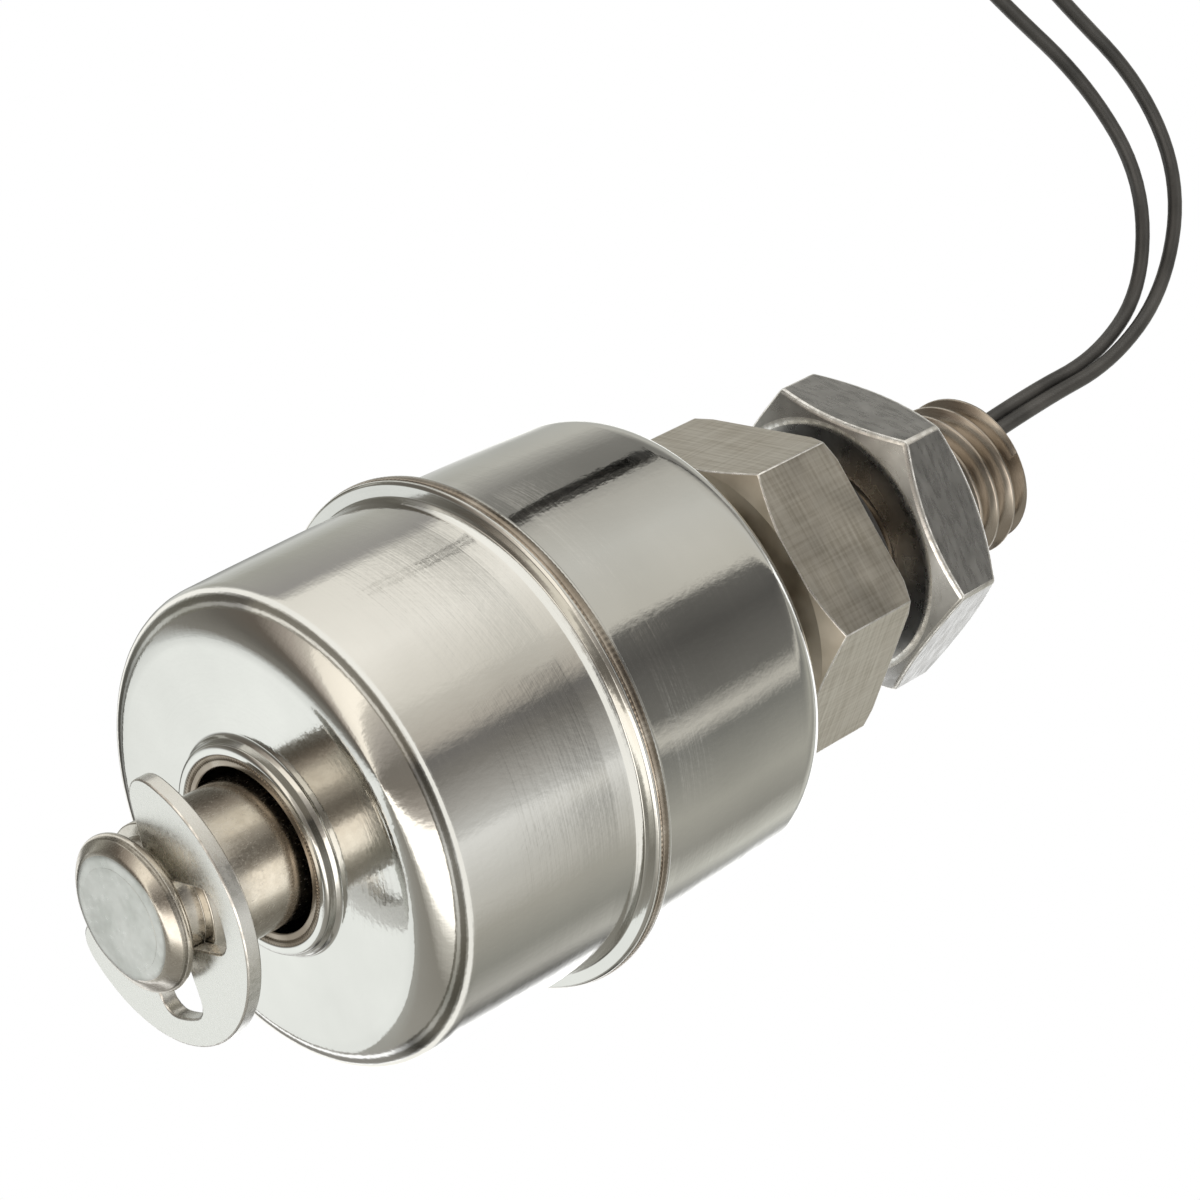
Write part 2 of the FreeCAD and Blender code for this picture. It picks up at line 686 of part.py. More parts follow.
def make_lead_tip(name, side):
    """The stripped and tinned end of a lead."""
    low = "Sizes.coil_depth - Sizes.drop_length - Sizes.lead_tip_length"
    return cylinder(name, "Sizes.lead_core_diameter / 2", "Sizes.lead_tip_length", "Places.drop_x",
                    "%d * Places.drop_y" % side, low)


def make_coil_tie(coil):
    """A small tie round the coil's section, on the side nearest the stem."""
    reach = "(Places.coil_half + Sizes.tie_thickness)"
    collar = block("TieBlank", "2 * " + reach, "2 * " + reach, "Sizes.tie_width",
                   "-Sizes.coil_offset + Sizes.coil_mid_diameter / 2 - " + reach, "-" + reach,
                   "Sizes.coil_depth - Sizes.tie_width / 2")
    return cut("CoilTie", collar, coil)


def make_potting(leads):
    """Cast resin: it fills the stem and the threaded bore round the sleeve and the leads."""
    stem, bore = "Sizes.stem_bore / 2", "Sizes.thread_bore / 2"
    blank = turned_piece("PottingBlank", [
        ("0", "Places.plug_end_z"),
        (stem, "Places.plug_end_z"),
        (stem, "Places.seat_z"),
        (bore, "Places.seat_z"),
        (bore, "Places.potting_top_z"),
        ("0", "Places.potting_top_z"),
    ])
    space = cylinder("SleeveSpace", "Sizes.sleeve_bore / 2 + Sizes.sleeve_wall", "Places.sleeve_length",
                     z="Places.sleeve_low_z")
    return cut("Potting", blank, fuse("PottedThings", [space] + leads))


def build():
    """Every sub-part, by the name of its file."""
    nodes = {
        "hex_body": make_hex_body(),
        "stem_tube": make_stem_tube(),
        "tip_plug": make_tip_plug(),
        "retaining_clip": make_retaining_clip(),
        "float_shell_tip": make_float_shell("FloatShellTip", -1),
        "float_shell_flange": make_float_shell("FloatShellFlange", 1),
        "float_inner_tube": make_float_inner_tube(),
        "float_magnet": make_float_magnet(),
        "magnet_spacer_tip": make_magnet_spacer("MagnetSpacerTip", -1),
        "magnet_spacer_flange": make_magnet_spacer("MagnetSpacerFlange", 1),
        "sealing_gasket": make_sealing_gasket(),
        "lock_nut": make_lock_nut(),
        "reed_glass": make_reed_glass(),
        "reed_blade_upper": make_reed_blade("ReedBladeUpper", 1),
        "reed_blade_lower": make_reed_blade("ReedBladeLower", -1),
        "return_wire": make_return_wire(),
        "reed_sleeve": make_reed_sleeve(),
        "lead_a_potted": make_lead_potted("LeadAPotted", "Places.reed_x", mouth_of(LEAD_A_ROUTE)),
        "lead_b_potted": make_lead_potted("LeadBPotted", "Places.wire_x", mouth_of(LEAD_B_ROUTE)),
        "lead_a": make_lead("LeadA", LEAD_A_ROUTE),
        "lead_b": make_lead("LeadB", LEAD_B_ROUTE),
        "lead_coil": make_lead_coil(),
        "lead_a_drop": make_drop("LeadADrop", 1),
        "lead_b_drop": make_drop("LeadBDrop", -1),
        "lead_a_tip": make_lead_tip("LeadATip", 1),
        "lead_b_tip": make_lead_tip("LeadBTip", -1),
    }
    nodes["solder_lower"] = make_solder("SolderLower", "Places.reed_x", "Places.wire_low_z",
                                        [nodes["reed_blade_lower"], nodes["return_wire"]])
    nodes["solder_upper_a"] = make_solder("SolderUpperA", "Places.reed_x", "Places.joint_z",
                                          [nodes["reed_blade_upper"], nodes["lead_a_potted"]])
    nodes["solder_upper_b"] = make_solder("SolderUpperB", "Places.wire_x", "Places.joint_z",
                                          [nodes["return_wire"], nodes["lead_b_potted"]])
    leads = [nodes["lead_a_potted"], nodes["lead_b_potted"]]
    nodes["potting"] = make_potting(leads)
    nodes["coil_tie"] = make_coil_tie(nodes["lead_coil"])
    return nodes


def export(nodes):
    """Check the whole document, then write each sub-part."""
    doc.recompute()
    for thing in doc.Objects:
        if "Invalid" in thing.State or "Error" in thing.State:
            raise RuntimeError("%s failed: %s" % (thing.Name, thing.State))
    os.makedirs("parts", exist_ok=True)
    for label, thing in nodes.items():
        thing.Label = label
        if thing.Shape.isNull() or not thing.Shape.isValid():
            raise RuntimeError("%s has no valid shape" % label)
        print("%-22s %9.2f mm3, %d solid(s)" % (label, thing.Shape.Volume, len(thing.Shape.Solids)))
        thing.Shape.exportStep("parts/%s.step" % label)


export(build())
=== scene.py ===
# %% [markdown]
# # A float level switch, dressed in Blender
# The real thing hangs in a tank: a steel drum floats up and down a stem, and a magnet inside the drum
# closes a glass reed switch inside the stem. A CAD program has already made every solid piece in its
# place. Here each piece gets the surface that the eye expects: mirror-polished sheet, ground tube, a
# real screw thread, soft black leads. The CAD model is loaded first and never moved, so that all that
# follows is set against it.

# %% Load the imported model
import math

import bmesh
import bpy
from mathutils import Matrix, Vector


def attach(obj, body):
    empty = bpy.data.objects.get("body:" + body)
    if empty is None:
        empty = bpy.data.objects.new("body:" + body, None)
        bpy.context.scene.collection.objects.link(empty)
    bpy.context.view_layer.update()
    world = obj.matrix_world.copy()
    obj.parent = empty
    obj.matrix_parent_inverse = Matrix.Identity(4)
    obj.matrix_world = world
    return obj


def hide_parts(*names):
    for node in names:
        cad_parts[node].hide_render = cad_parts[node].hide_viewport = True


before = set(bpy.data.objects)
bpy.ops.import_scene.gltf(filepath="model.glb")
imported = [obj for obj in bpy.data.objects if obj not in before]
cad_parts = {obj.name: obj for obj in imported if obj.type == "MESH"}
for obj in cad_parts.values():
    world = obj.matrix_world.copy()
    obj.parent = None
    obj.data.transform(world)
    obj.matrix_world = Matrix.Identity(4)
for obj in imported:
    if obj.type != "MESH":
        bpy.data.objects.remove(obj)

# Lengths are written in millimetres, and Blender takes metres
MM = 0.001
scene = bpy.context.scene
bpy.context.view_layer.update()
print("CAD nodes:", len(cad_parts))


def in_scene(name, data):
    """An object with that name and data, linked to the scene."""
    thing = bpy.data.objects.new(name, data)
    scene.collection.objects.link(thing)
    return thing


# %% [markdown]
# ## Where the camera stands
# The photograph was taken from close by and from below the tip, so the near end of the switch
# looks larger. The place and the lens were worked out from edges that can be measured in the picture:
# the circles of the drum, the corners of the hexagons and the turns of the thread. The camera's own
# right and up directions fill the columns of its matrix, which leaves no doubt about its roll.

# %% Camera
CAMERA_PLACE = Vector((-0.05023, -0.15049, -0.13369))
CAMERA_RIGHT = Vector((0.27627, -0.64959, 0.70832))
CAMERA_UP = Vector((-0.93164, 0.0, 0.36337))
camera_data = bpy.data.cameras.new("photo_camera")
camera_data.sensor_width = 36.0
camera_data.lens = 105.05
camera_data.clip_start = 0.01
camera = in_scene("photo_camera", camera_data)
turned_to = Matrix((CAMERA_RIGHT, CAMERA_UP, CAMERA_RIGHT.cross(CAMERA_UP))).transposed()
camera.matrix_world = Matrix.Translation(CAMERA_PLACE) @ turned_to.to_4x4()
scene.camera = camera

# %% [markdown]
# ## Colours and nodes
# Colours are written as on a screen, in sRGB hex, and shaders count in linear light, so one function
# turns the one into the other. One more function adds a node, sets what is named and links what is
# given, which keeps each material down to the few lines that say what is special about it.

# %% Helpers for materials
def linear(code):
    """An sRGB colour, written as #rrggbb, as the linear colour that a shader takes."""
    parts = [int(code[i:i + 2], 16) / 255 for i in (1, 3, 5)]
    return tuple(c / 12.92 if c <= 0.04045 else ((c + 0.055) / 1.055) ** 2.4 for c in parts) + (1.0,)


def add(tree, kind, settings=(), links=()):
    """A new node in a tree. Settings name its sockets or its properties, and links name its sockets."""
    node = tree.nodes.new("ShaderNode" + kind)
    for name, value in dict(settings).items():
        if isinstance(name, int) or name in node.inputs:
            node.inputs[name].default_value = value
        else:
            setattr(node, name, value)
    for name, source in dict(links).items():
        tree.links.new(source, node.inputs[name])
    return node


METAL = {"Metallic": 1.0}


def new_finish(name, colour, settings=()):
    """A material with its one shader; returns the material, its node tree and the shader."""
    material = bpy.data.materials.new(name)
    material.use_nodes = True
    shader = material.node_tree.nodes["Principled BSDF"]
    shader.inputs["Base Color"].default_value = linear(colour)
    for socket, value in dict(settings).items():
        shader.inputs[socket].default_value = value
    return material, material.node_tree, shader


def in_place(tree, stretch):
    """The place on the piece, stretched by so many pattern widths a metre along each axis."""
    place = add(tree, "TexCoord")
    return add(tree, "Mapping", {"Scale": stretch}, {"Vector": place.outputs["Object"]}).outputs["Vector"]


def shades(tree, source, stops):
    """A colour ramp over a pattern: stops are (position, hex colour)."""
    ramp = add(tree, "ValToRGB", {}, {"Fac": source})
    for i, (position, colour) in enumerate(stops):
        stop = ramp.color_ramp.elements[i] if i < 2 else ramp.color_ramp.elements.new(position)
        stop.position = position
        stop.color = linear(colour)
    return ramp.outputs["Color"]


def between(tree, source, low, high, start=0.0, end=1.0):
    """A pattern's values from start to end, brought to lie between low and high."""
    settings = {"From Min": start, "From Max": end, "To Min": low, "To Max": high}
    return add(tree, "MapRange", settings, {"Value": source}).outputs["Result"]


def relief(tree, shader, height, depth, strength):
    """Bumps of that depth in millimetres, from a pattern of heights."""
    settings = {"Distance": depth * MM, "Strength": strength}
    bump = add(tree, "Bump", settings, {"Height": height})
    tree.links.new(bump.outputs["Normal"], shader.inputs["Normal"])


def noise(tree, scale, detail, stretch=(1, 1, 1)):
    """Noise over the piece's own coordinates, with about that many spots in a metre."""
    settings = {"Scale": scale, "Detail": detail}
    return add(tree, "TexNoise", settings, {"Vector": in_place(tree, stretch)}).outputs["Fac"]


def blend(tree, share, first, second):
    """Two patterns in one, with that share of the second."""
    return add(tree, "Mix", {0: share}, {2: first, 3: second}).outputs["Result"]


def tint(tree, shader, source, stops):
    """A finish's colour, from a pattern."""
    tree.links.new(shades(tree, source, stops), shader.inputs["Base Color"])


def roughen(tree, shader, source, low, high, start=0.0, end=1.0):
    """A finish's roughness, from a pattern's values between start and end."""
    tree.links.new(between(tree, source, low, high, start, end), shader.inputs["Roughness"])


def spotted(name, colour, settings, spots, stops, rough, bumps):
    """A whole finish that follows one noise; its spots, roughness and bumps are the helpers' numbers."""
    material, tree, shader = new_finish(name, colour, settings)
    pattern = noise(tree, *spots)
    tint(tree, shader, pattern, stops)
    roughen(tree, shader, pattern, *rough)
    relief(tree, shader, pattern, *bumps)
    return material


# %% [markdown]
# ## The leads' insulation
# Hook-up wire has a skin of soft PVC, extruded over the strands. It comes out black and half glossy,
# with long faint waves from the die and a little dust that takes the edge off the shine. The waves are
# noise on Object coordinates, about 3 mm long, and the dust is finer noise in the roughness.

# %% Extruded black PVC
lead_jacket, tree, shader = new_finish("extruded_black_pvc", "#2b2a27", {"IOR": 1.53})
waves = noise(tree, 320.0, 2.0)
dust = noise(tree, 6000.0, 3.0)
tint(tree, shader, waves, [(0.3, "#22211f"), (0.7, "#34322f")])
roughen(tree, shader, dust, 0.28, 0.46)
relief(tree, shader, waves, 0.03, 0.5)

# %% [markdown]
# ## Two leads, each one smooth line
# Each lead is one length of thin wire, about 33 cm beyond the threaded end. The photograph shows its
# first stretch, out of the tail and over in an arc. The rest is put away as a neat coil beside the
# picture. A bevelled curve is the natural way: its control points are given, and a NURBS line
# of order 3 passes smoothly between them. The turns of the coil are more points of the same line, worked
# out by a loop: eight places across the winding, four layers deep and two columns wide for each lead.

# %% Routes of the leads
LEAD_THICK = 0.95
COIL_MIDDLE = (-43.5, 8.0)
COIL_RADIUS = 5.6
COIL_PITCH = 0.96
TURN_POINTS = 16
# The lines leave the winding after seven turns and 35 degrees
COIL_TURNS = 7
ENTRY_ANGLE = 35.0
COIL_TRAVEL = COIL_TURNS * 360.0 + ENTRY_ANGLE
# Every change to the next place in the winding lies in the same stretch, at its foot
CHANGE_START = 80.0
CHANGE_LONG = 90.0
# Places in the winding, as layer from the inside and column from the middle
WINDING = [(3, 0), (2, 0), (1, 0), (0, 0), (0, 1), (1, 1), (2, 1), (3, 1)]
MIDDLE_LAYER = 1.5
# The last place is the outermost one, and from there the ends hang straight down
HANG_X = COIL_MIDDLE[0] - COIL_RADIUS - MIDDLE_LAYER * COIL_PITCH
HANG_Y = 1.5 * COIL_PITCH
JACKET_END = -4.0
HANG_HEIGHTS = (7.2, 3.0, -0.5, JACKET_END)
LEAD_A_ROUTE = [
    (-1.9, 0.4, 16.5), (-2.62, 0.41, 24.0), (-2.62, 0.45, 31.3), (-5.3, 0.5, 37.3),
    (-12.0, 0.5, 40.0), (-19.5, 0.5, 36.9), (-26.6, 0.5, 30.8), (-34.6, 0.5, 24.9),
    (-42.4, 0.5, 19.4), (-46.74, 0.49, 15.64), (-49.27, 0.48, 12.04),
]
LEAD_B_ROUTE = [
    (-1.33, -0.42, 16.5), (-2.03, -0.42, 24.5), (-2.12, -0.47, 31.6), (-4.85, -0.5, 38.2),
    (-10.8, -0.5, 42.3), (-18.0, -0.5, 41.0), (-25.4, -0.5, 35.2), (-33.0, -0.5, 29.9),
    (-40.8, -0.5, 22.9), (-46.4, -0.49, 16.14), (-49.27, -0.48, 12.04),
]


def winding_point(travel, side):
    """A control point of the winding after so many degrees of travel."""
    change = max(0.0, (travel - CHANGE_START) / 360.0)
    turn = min(int(change), COIL_TURNS - 1)
    share = min(1.0, (change - turn) * 360.0 / CHANGE_LONG)
    share = share * share * (3 - 2 * share)
    (layer, column), (next_layer, next_column) = WINDING[turn], WINDING[turn + 1]
    radius = COIL_RADIUS + (layer + (next_layer - layer) * share - MIDDLE_LAYER) * COIL_PITCH
    # The line passes inside its control points, so they lie a little further out
    reach = radius / math.cos(math.pi / TURN_POINTS)
    angle = math.radians(ENTRY_ANGLE - travel)
    across = side * (0.5 + column + (next_column - column) * share) * COIL_PITCH
    return (COIL_MIDDLE[0] - reach * math.cos(angle), across, COIL_MIDDLE[1] + reach * math.sin(angle))


def lay_lead(name, route, side, stands_for):
    """One lead as a round wire along one line: the route, the winding and the hanging end."""
    step = 360.0 / TURN_POINTS
    winding = [winding_point(i * step, side) for i in range(1, int(COIL_TRAVEL / step) + 1)]
    hanging = [(HANG_X, side * HANG_Y, height) for height in HANG_HEIGHTS]
    line = bpy.data.curves.new(name, "CURVE")
    line.dimensions = "3D"
    line.bevel_depth = LEAD_THICK / 2 * MM
    line.bevel_resolution = 5
    line.resolution_u = 8
    line.use_fill_caps = True
    spline = line.splines.new("NURBS")
    points = route + winding + hanging
    spline.points.add(len(points) - 1)
    for control, point in zip(spline.points, points):
        control.co = (point[0] * MM, point[1] * MM, point[2] * MM, 1.0)
    spline.order_u = 3
    spline.use_endpoint_u = True
    line.materials.append(lead_jacket)
    lead = in_scene(name, line)
    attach(lead, "switch_body")
    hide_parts(*stands_for)
    print(name, "has", len(points), "control points, %.1f mm long" % (spline.calc_length() / MM))
    return lead


# %% Lay the leads
lead_a_wire = lay_lead("lead_a_wire", LEAD_A_ROUTE, 1, ["lead_a", "lead_a_drop", "lead_coil"])
lead_b_wire = lay_lead("lead_b_wire", LEAD_B_ROUTE, -1, ["lead_b", "lead_b_drop", "lead_coil"])

# %% [markdown]
# ## Turned pieces
# Most of the switch was made on a lathe or drawn over a round die, so its pieces are a profile spun
# about the stem. The profile's corners are rounded first, each by a bevel of its own vertex, because a
# real edge is never razor sharp and the round catches the light. The normals are weighted by the area
# of the faces, so that a flat face beside a small round stays flat in a mirror finish.

# %% Helpers for meshes
def verts_in(geometry):
    """The vertices in what an operator hands back."""
    return [part for part in geometry if isinstance(part, bmesh.types.BMVert)]


def edges_in(geometry):
    """The edges in what an operator hands back."""
    return [part for part in geometry if isinstance(part, bmesh.types.BMEdge)]


def away_of(vert):
    """A vertex's distance from the stem's axis, in millimetres."""
    return math.hypot(vert.co.x, vert.co.y) / MM


def mesh_of(name, bm, material):
    """A mesh with one material, from a bmesh that has done its work."""
    mesh = bpy.data.meshes.new(name)
    bm.to_mesh(mesh)
    bm.free()
    mesh.materials.append(material)
    return mesh


def finish_piece(name, bm, material, body, stands_for, crease=40.0):
    """Turns a bmesh into a finished piece that rides on its body."""
    bmesh.ops.remove_doubles(bm, verts=bm.verts[:], dist=0.002 * MM)
    bmesh.ops.recalc_face_normals(bm, faces=bm.faces[:])
    open_edges = sum(1 for edge in bm.edges if not edge.is_manifold)
    mesh = mesh_of(name, bm, material)
    mesh.shade_smooth()
    mesh.set_sharp_from_angle(angle=math.radians(crease))
    piece = in_scene(name, mesh)
    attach(piece, body)
    if stands_for:
        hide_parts(*stands_for)
    print("%s: %d faces, %d open edges" % (name, len(mesh.polygons), open_edges))
    return piece


def soften(piece, width, segments=2, edge_finish=None, sharper_than=30):
    """Small rounds on a piece's sharp edges, in a finish of their own that is worn and painted bright as a
    highlight, and flat faces kept flat.
    """
    if width:
        bevel = piece.modifiers.new("worn_edges", "BEVEL")
        bevel.width = width * MM
        bevel.segments = segments
        bevel.limit_method = "ANGLE"
        bevel.angle_limit = math.radians(sharper_than)
        if edge_finish:
            piece.data.materials.append(edge_finish)
            bevel.material = len(piece.data.materials) - 1
    flat = piece.modifiers.new("flat_faces", "WEIGHTED_NORMAL")
    flat.keep_sharp = True
    return piece


def draw_profile(bm, profile, bend_steps=8, closed=True):
    """A profile in the X-Z plane, in millimetres: (radius, height) or (radius, height, round)."""
    corners = [bm.verts.new((point[0] * MM, 0, point[1] * MM)) for point in profile]
    for first, second in zip(corners, corners[1:]):
        bm.edges.new((first, second))
    if closed:
        bm.edges.new((corners[-1], corners[0]))
    for corner, point in zip(corners, profile):
        if len(point) == 3:
            sides = [edge.other_vert(corner).co - corner.co for edge in corner.link_edges]
            turning = math.pi - sides[0].angle(sides[1])
            bmesh.ops.bevel(bm, geom=[corner], offset=point[2] * MM * math.tan(turning / 2),
                            segments=bend_steps, profile=0.5, affect="VERTICES", material=-1)


def spin_round(bm, steps):
    """Everything so far, spun once round the stem's axis."""
    bmesh.ops.spin(bm, geom=bm.verts[:] + bm.edges[:], cent=(0, 0, 0), axis=(0, 0, 1), dvec=(0, 0, 0),
                   angle=math.tau, steps=steps, use_merge=True)


def lift_face(bm, thickness):
    """Gives a flat outline that has been filled its thickness, upwards."""
    lifted = bmesh.ops.extrude_face_region(bm, geom=bm.faces[:], use_keep_orig=True)["geom"]
    bmesh.ops.translate(bm, verts=verts_in(lifted), vec=(0, 0, thickness * MM))


def turned(name, profile, steps, material, body, stands_for, bend_steps=8):
    """A turned piece, from its profile."""
    bm = bmesh.new()
    draw_profile(bm, profile, bend_steps, closed=profile[0][0] > 0)
    spin_round(bm, steps)
    return soften(finish_piece(name, bm, material, body, stands_for), 0)


# %% [markdown]
# ## Mirror-polished sheet
# The drum is drawn from thin stainless sheet and polished on a buffing wheel while it turns. Buffing
# leaves a mirror with the finest of lines running round it, which blur a reflection along the axis more
# than across it. Four-dimensional noise draws such lines on the wall and on the flat end alike: the
# place round the drum changes it slowly, the height and the distance from the axis change it fast.
# The lines are drawn about 0.15 mm wide; the real ones are too fine to show.

# %% Lines that run round a turned piece
def lines_round(tree, fine, slow):
    """Noise drawn out round the Z axis: fine lines a metre across them, slow a metre along them."""
    place = add(tree, "TexCoord").outputs["Object"]
    flat = add(tree, "VectorMath", {"operation": "MULTIPLY", 1: (1, 1, 0)}, {0: place})
    away = add(tree, "VectorMath", {"operation": "LENGTH"}, {0: flat.outputs["Vector"]})
    across = add(tree, "Math", {"operation": "MULTIPLY", 1: fine}, {0: away.outputs["Value"]})
    around = add(tree, "Mapping", {"Scale": (slow, slow, fine)}, {"Vector": place})
    settings = {"noise_dimensions": "4D", "Scale": 1.0, "Detail": 2.0}
    links = {"Vector": around.outputs["Vector"], "W": across.outputs["Value"]}
    return add(tree, "TexNoise", settings, links).outputs["Fac"]


# %% Mirror-polished stainless
polished_steel, tree, shader = new_finish("mirror_polished_stainless", "#dbdbd8", METAL)
buffing = lines_round(tree, 6500.0, 160.0)
haze = noise(tree, 130.0, 3.0)
peel = noise(tree, 3200.0, 2.0, (1, 1, 0.6))
blur = add(tree, "Math", {"operation": "MULTIPLY"}, {0: buffing, 1: haze})
roughen(tree, shader, blur.outputs["Value"], 0.05, 0.15, 0.1, 0.5)
tint(tree, shader, haze, [(0.3, "#d5d5d2"), (0.7, "#e0e0dd")])
relief(tree, shader, blend(tree, 0.6, buffing, peel), 0.008, 1.0)

# %% [markdown]
# ## Two drawn shells
# Each half of the drum is a cup drawn from sheet 0.4 mm thick: a flat end with a turned-out collar round
# the bore, a full round to the wall, a wall that leans in by a quarter of a millimetre, and a flare out
# to the flange where the halves meet. One profile, walked outside and back inside, gives the cup its
# real thickness. Heights run outwards from the seam, so the other half is the same list with its
# heights turned over.

# %% Float shells
SEAM_Z = -25.4
DRUM_STEPS = 192
SHELL_PROFILE = [
    (15.0, 0.0), (15.02, 0.44, 0.15), (14.86, 0.58, 0.12), (14.17, 0.64, 0.08), (14.04, 1.25, 0.8),
    (14.0, 2.4, 2.0), (13.97, 5.0, 30.0), (13.9, 9.0, 30.0), (13.75, 14.8, 2.6), (6.35, 14.8, 0.25),
    (6.15, 15.02, 0.12), (6.0, 15.6, 0.3), (5.5, 15.58, 0.12), (5.3, 15.36), (5.27, 14.4),
    (13.35, 14.4, 2.2), (13.6, 1.25, 1.0), (13.6, 0.0),
]


def make_shell(name, side, stands_for):
    """One half of the drum; side is -1 towards the tip and 1 towards the hex body."""
    profile = [(point[0], SEAM_Z + side * point[1]) + tuple(point[2:]) for point in SHELL_PROFILE]
    return turned(name, profile, DRUM_STEPS, polished_steel, "float", [stands_for], 10)


make_shell("tip_half_shell", -1, "float_shell_tip")
make_shell("flange_half_shell", 1, "float_shell_flange")

# %% [markdown]
# ## The welds and the tube through the drum
# The halves are joined by a weld all round, and the tube through the bore is welded to both collars. A
# small weld is a row of overlapping ripples, each the edge of a pool that froze. A ring with a small
# round section is spun in many steps and its vertices are moved in and out, one wave a ripple, leaning
# back towards its edges as the real ones do.

# %% Weld steel
weld_steel = spotted(
    "weld_bead_stainless", "#a59b8f", METAL, (400.0, 4.0),
    [(0.3, "#84796c"), (0.55, "#a59b8f"), (0.75, "#c6c0b6")], (0.16, 0.3, 0.3, 0.7), (0.01, 0.4))

# %% Welds
WELD_SECTION = 12
RIPPLE_STEPS = 4
RIPPLE_LEAN = 1.6
BORE_WELD_RADIUS = 5.36
BORE_WELD_HEIGHT = 15.39


def make_weld(name, radius, height, across, along, ripples, swell):
    """A ring of weld ripples round the bore or the seam."""
    bm = bmesh.new()
    section = bmesh.ops.create_circle(bm, cap_ends=False, segments=WELD_SECTION, radius=1.0)["verts"]
    bmesh.ops.rotate(bm, verts=section, cent=(0, 0, 0), matrix=Matrix.Rotation(math.pi / 2, 3, "X"))
    bmesh.ops.scale(bm, verts=section, vec=(across * MM, 1, along * MM))
    bmesh.ops.translate(bm, verts=section, vec=(radius * MM, 0, height * MM))
    spin_round(bm, ripples * RIPPLE_STEPS)
    for vert in bm.verts:
        lean = RIPPLE_LEAN * abs(vert.co.z / MM - height) / along
        wave = math.cos(ripples * math.atan2(vert.co.y, vert.co.x) - lean)
        centre = Vector((vert.co.x, vert.co.y, 0)).normalized() * radius * MM
        centre.z = height * MM
        vert.co = centre + (vert.co - centre) * (1 + swell * wave)
    finish_piece(name, bm, weld_steel, "float", [], 60.0)


make_weld("seam_weld", 14.96, SEAM_Z, 0.13, 0.34, 280, 0.035)
for name, side in (("bore_weld_tip", -1), ("bore_weld_flange", 1)):
    make_weld(name, BORE_WELD_RADIUS, SEAM_Z + side * BORE_WELD_HEIGHT, 0.27, 0.17, 150, 0.16)

# %% Tube through the drum
TUBE_HALF = 15.48
TUBE_INSIDE = 4.75
TUBE_OUTSIDE = 5.25
turned("drum_tube", [
    (TUBE_INSIDE, SEAM_Z - TUBE_HALF, 0.1), (TUBE_OUTSIDE, SEAM_Z - TUBE_HALF, 0.12),
    (TUBE_OUTSIDE, SEAM_Z + TUBE_HALF, 0.12), (TUBE_INSIDE, SEAM_Z + TUBE_HALF, 0.1),
], 128, weld_steel, "float", ["float_inner_tube"], 4)

# %% [markdown]
# ## Ground steel tube
# The stem is drawn tube, finished with a fine abrasive belt and then handled a lot. Up close its skin is
# a field of tiny dents that sparkle, and its colour holds a warm tone, a painted reflection of the room.
# Two sizes of noise give the dents, 0.1 mm and 0.5 mm across, and the roughness changes with the finer
# ones. The flat of the head has been rubbed, which left it paler and duller, so it has a finish of its own.

# %% Ground stainless
# The warm colour is a painted reflection of the room.
ground_steel, tree, shader = new_finish("ground_stainless_tube", "#cfcbc3", METAL)
grain = noise(tree, 9000.0, 2.0, (1, 1, 0.6))
dents = noise(tree, 1900.0, 3.0)
tint(tree, shader, dents, [(0.3, "#cac5bc"), (0.7, "#d5d1c9")])
roughen(tree, shader, grain, 0.13, 0.28, 0.3, 0.7)
relief(tree, shader, blend(tree, 0.3, grain, dents), 0.0029, 0.7)

# %% Rubbed end face
rubbed_face, tree, shader = new_finish("rubbed_end_face", "#c3c5c1", METAL)
marks = noise(tree, 2600.0, 5.0)
clouds = noise(tree, 420.0, 3.0)
tint(tree, shader, clouds, [(0.35, "#babcb8"), (0.65, "#cccdca")])
roughen(tree, shader, marks, 0.26, 0.4, 0.3, 0.7)
relief(tree, shader, marks, 0.004, 0.6)

# %% [markdown]
# ## The stem and its head
# The tube's end was rounded over a plug, and a groove was rolled behind it for the clip. The rolling was
# not quite even: the head is a little oval and its flat face sits off the middle. So the profile is spun
# like the others, and then the head's vertices are moved, most at the face and not at all from the
# groove on.

# %% Stem tube
TIP_Z = -49.7
HEAD_LONG = 1.9
# The head is widest towards this angle, and oval and dented by these shares of its radius
HEAD_WIDE_AT = math.radians(80)
HEAD_OVAL = 0.022
HEAD_DENTS = 0.007
# The face's rim is pushed aside, all of it from this radius on and up to this share of the head
FACE_SHIFT = Vector((-0.5, -0.87, 0)) * 0.4
FACE_RADIUS = 3.6
FACE_FADE = 0.4
# Faces that look down and lie this near to the tip are rubbed
RUBBED_DEEP = 0.2
RUBBED_DOWN = -0.93
STEM_RADIUS = 4.2
STEM_BORE = 3.5
STEM_TOP = -2.0
PLUG_RADIUS = 2.9
PLUG_TOP = -45.0
SEAT_TOP = -44.9
PLUG_PROUD = 0.008
GROOVE_RADIUS = 3.5
GROOVE_TOP = -46.85
GROOVE_FOOT = -47.87


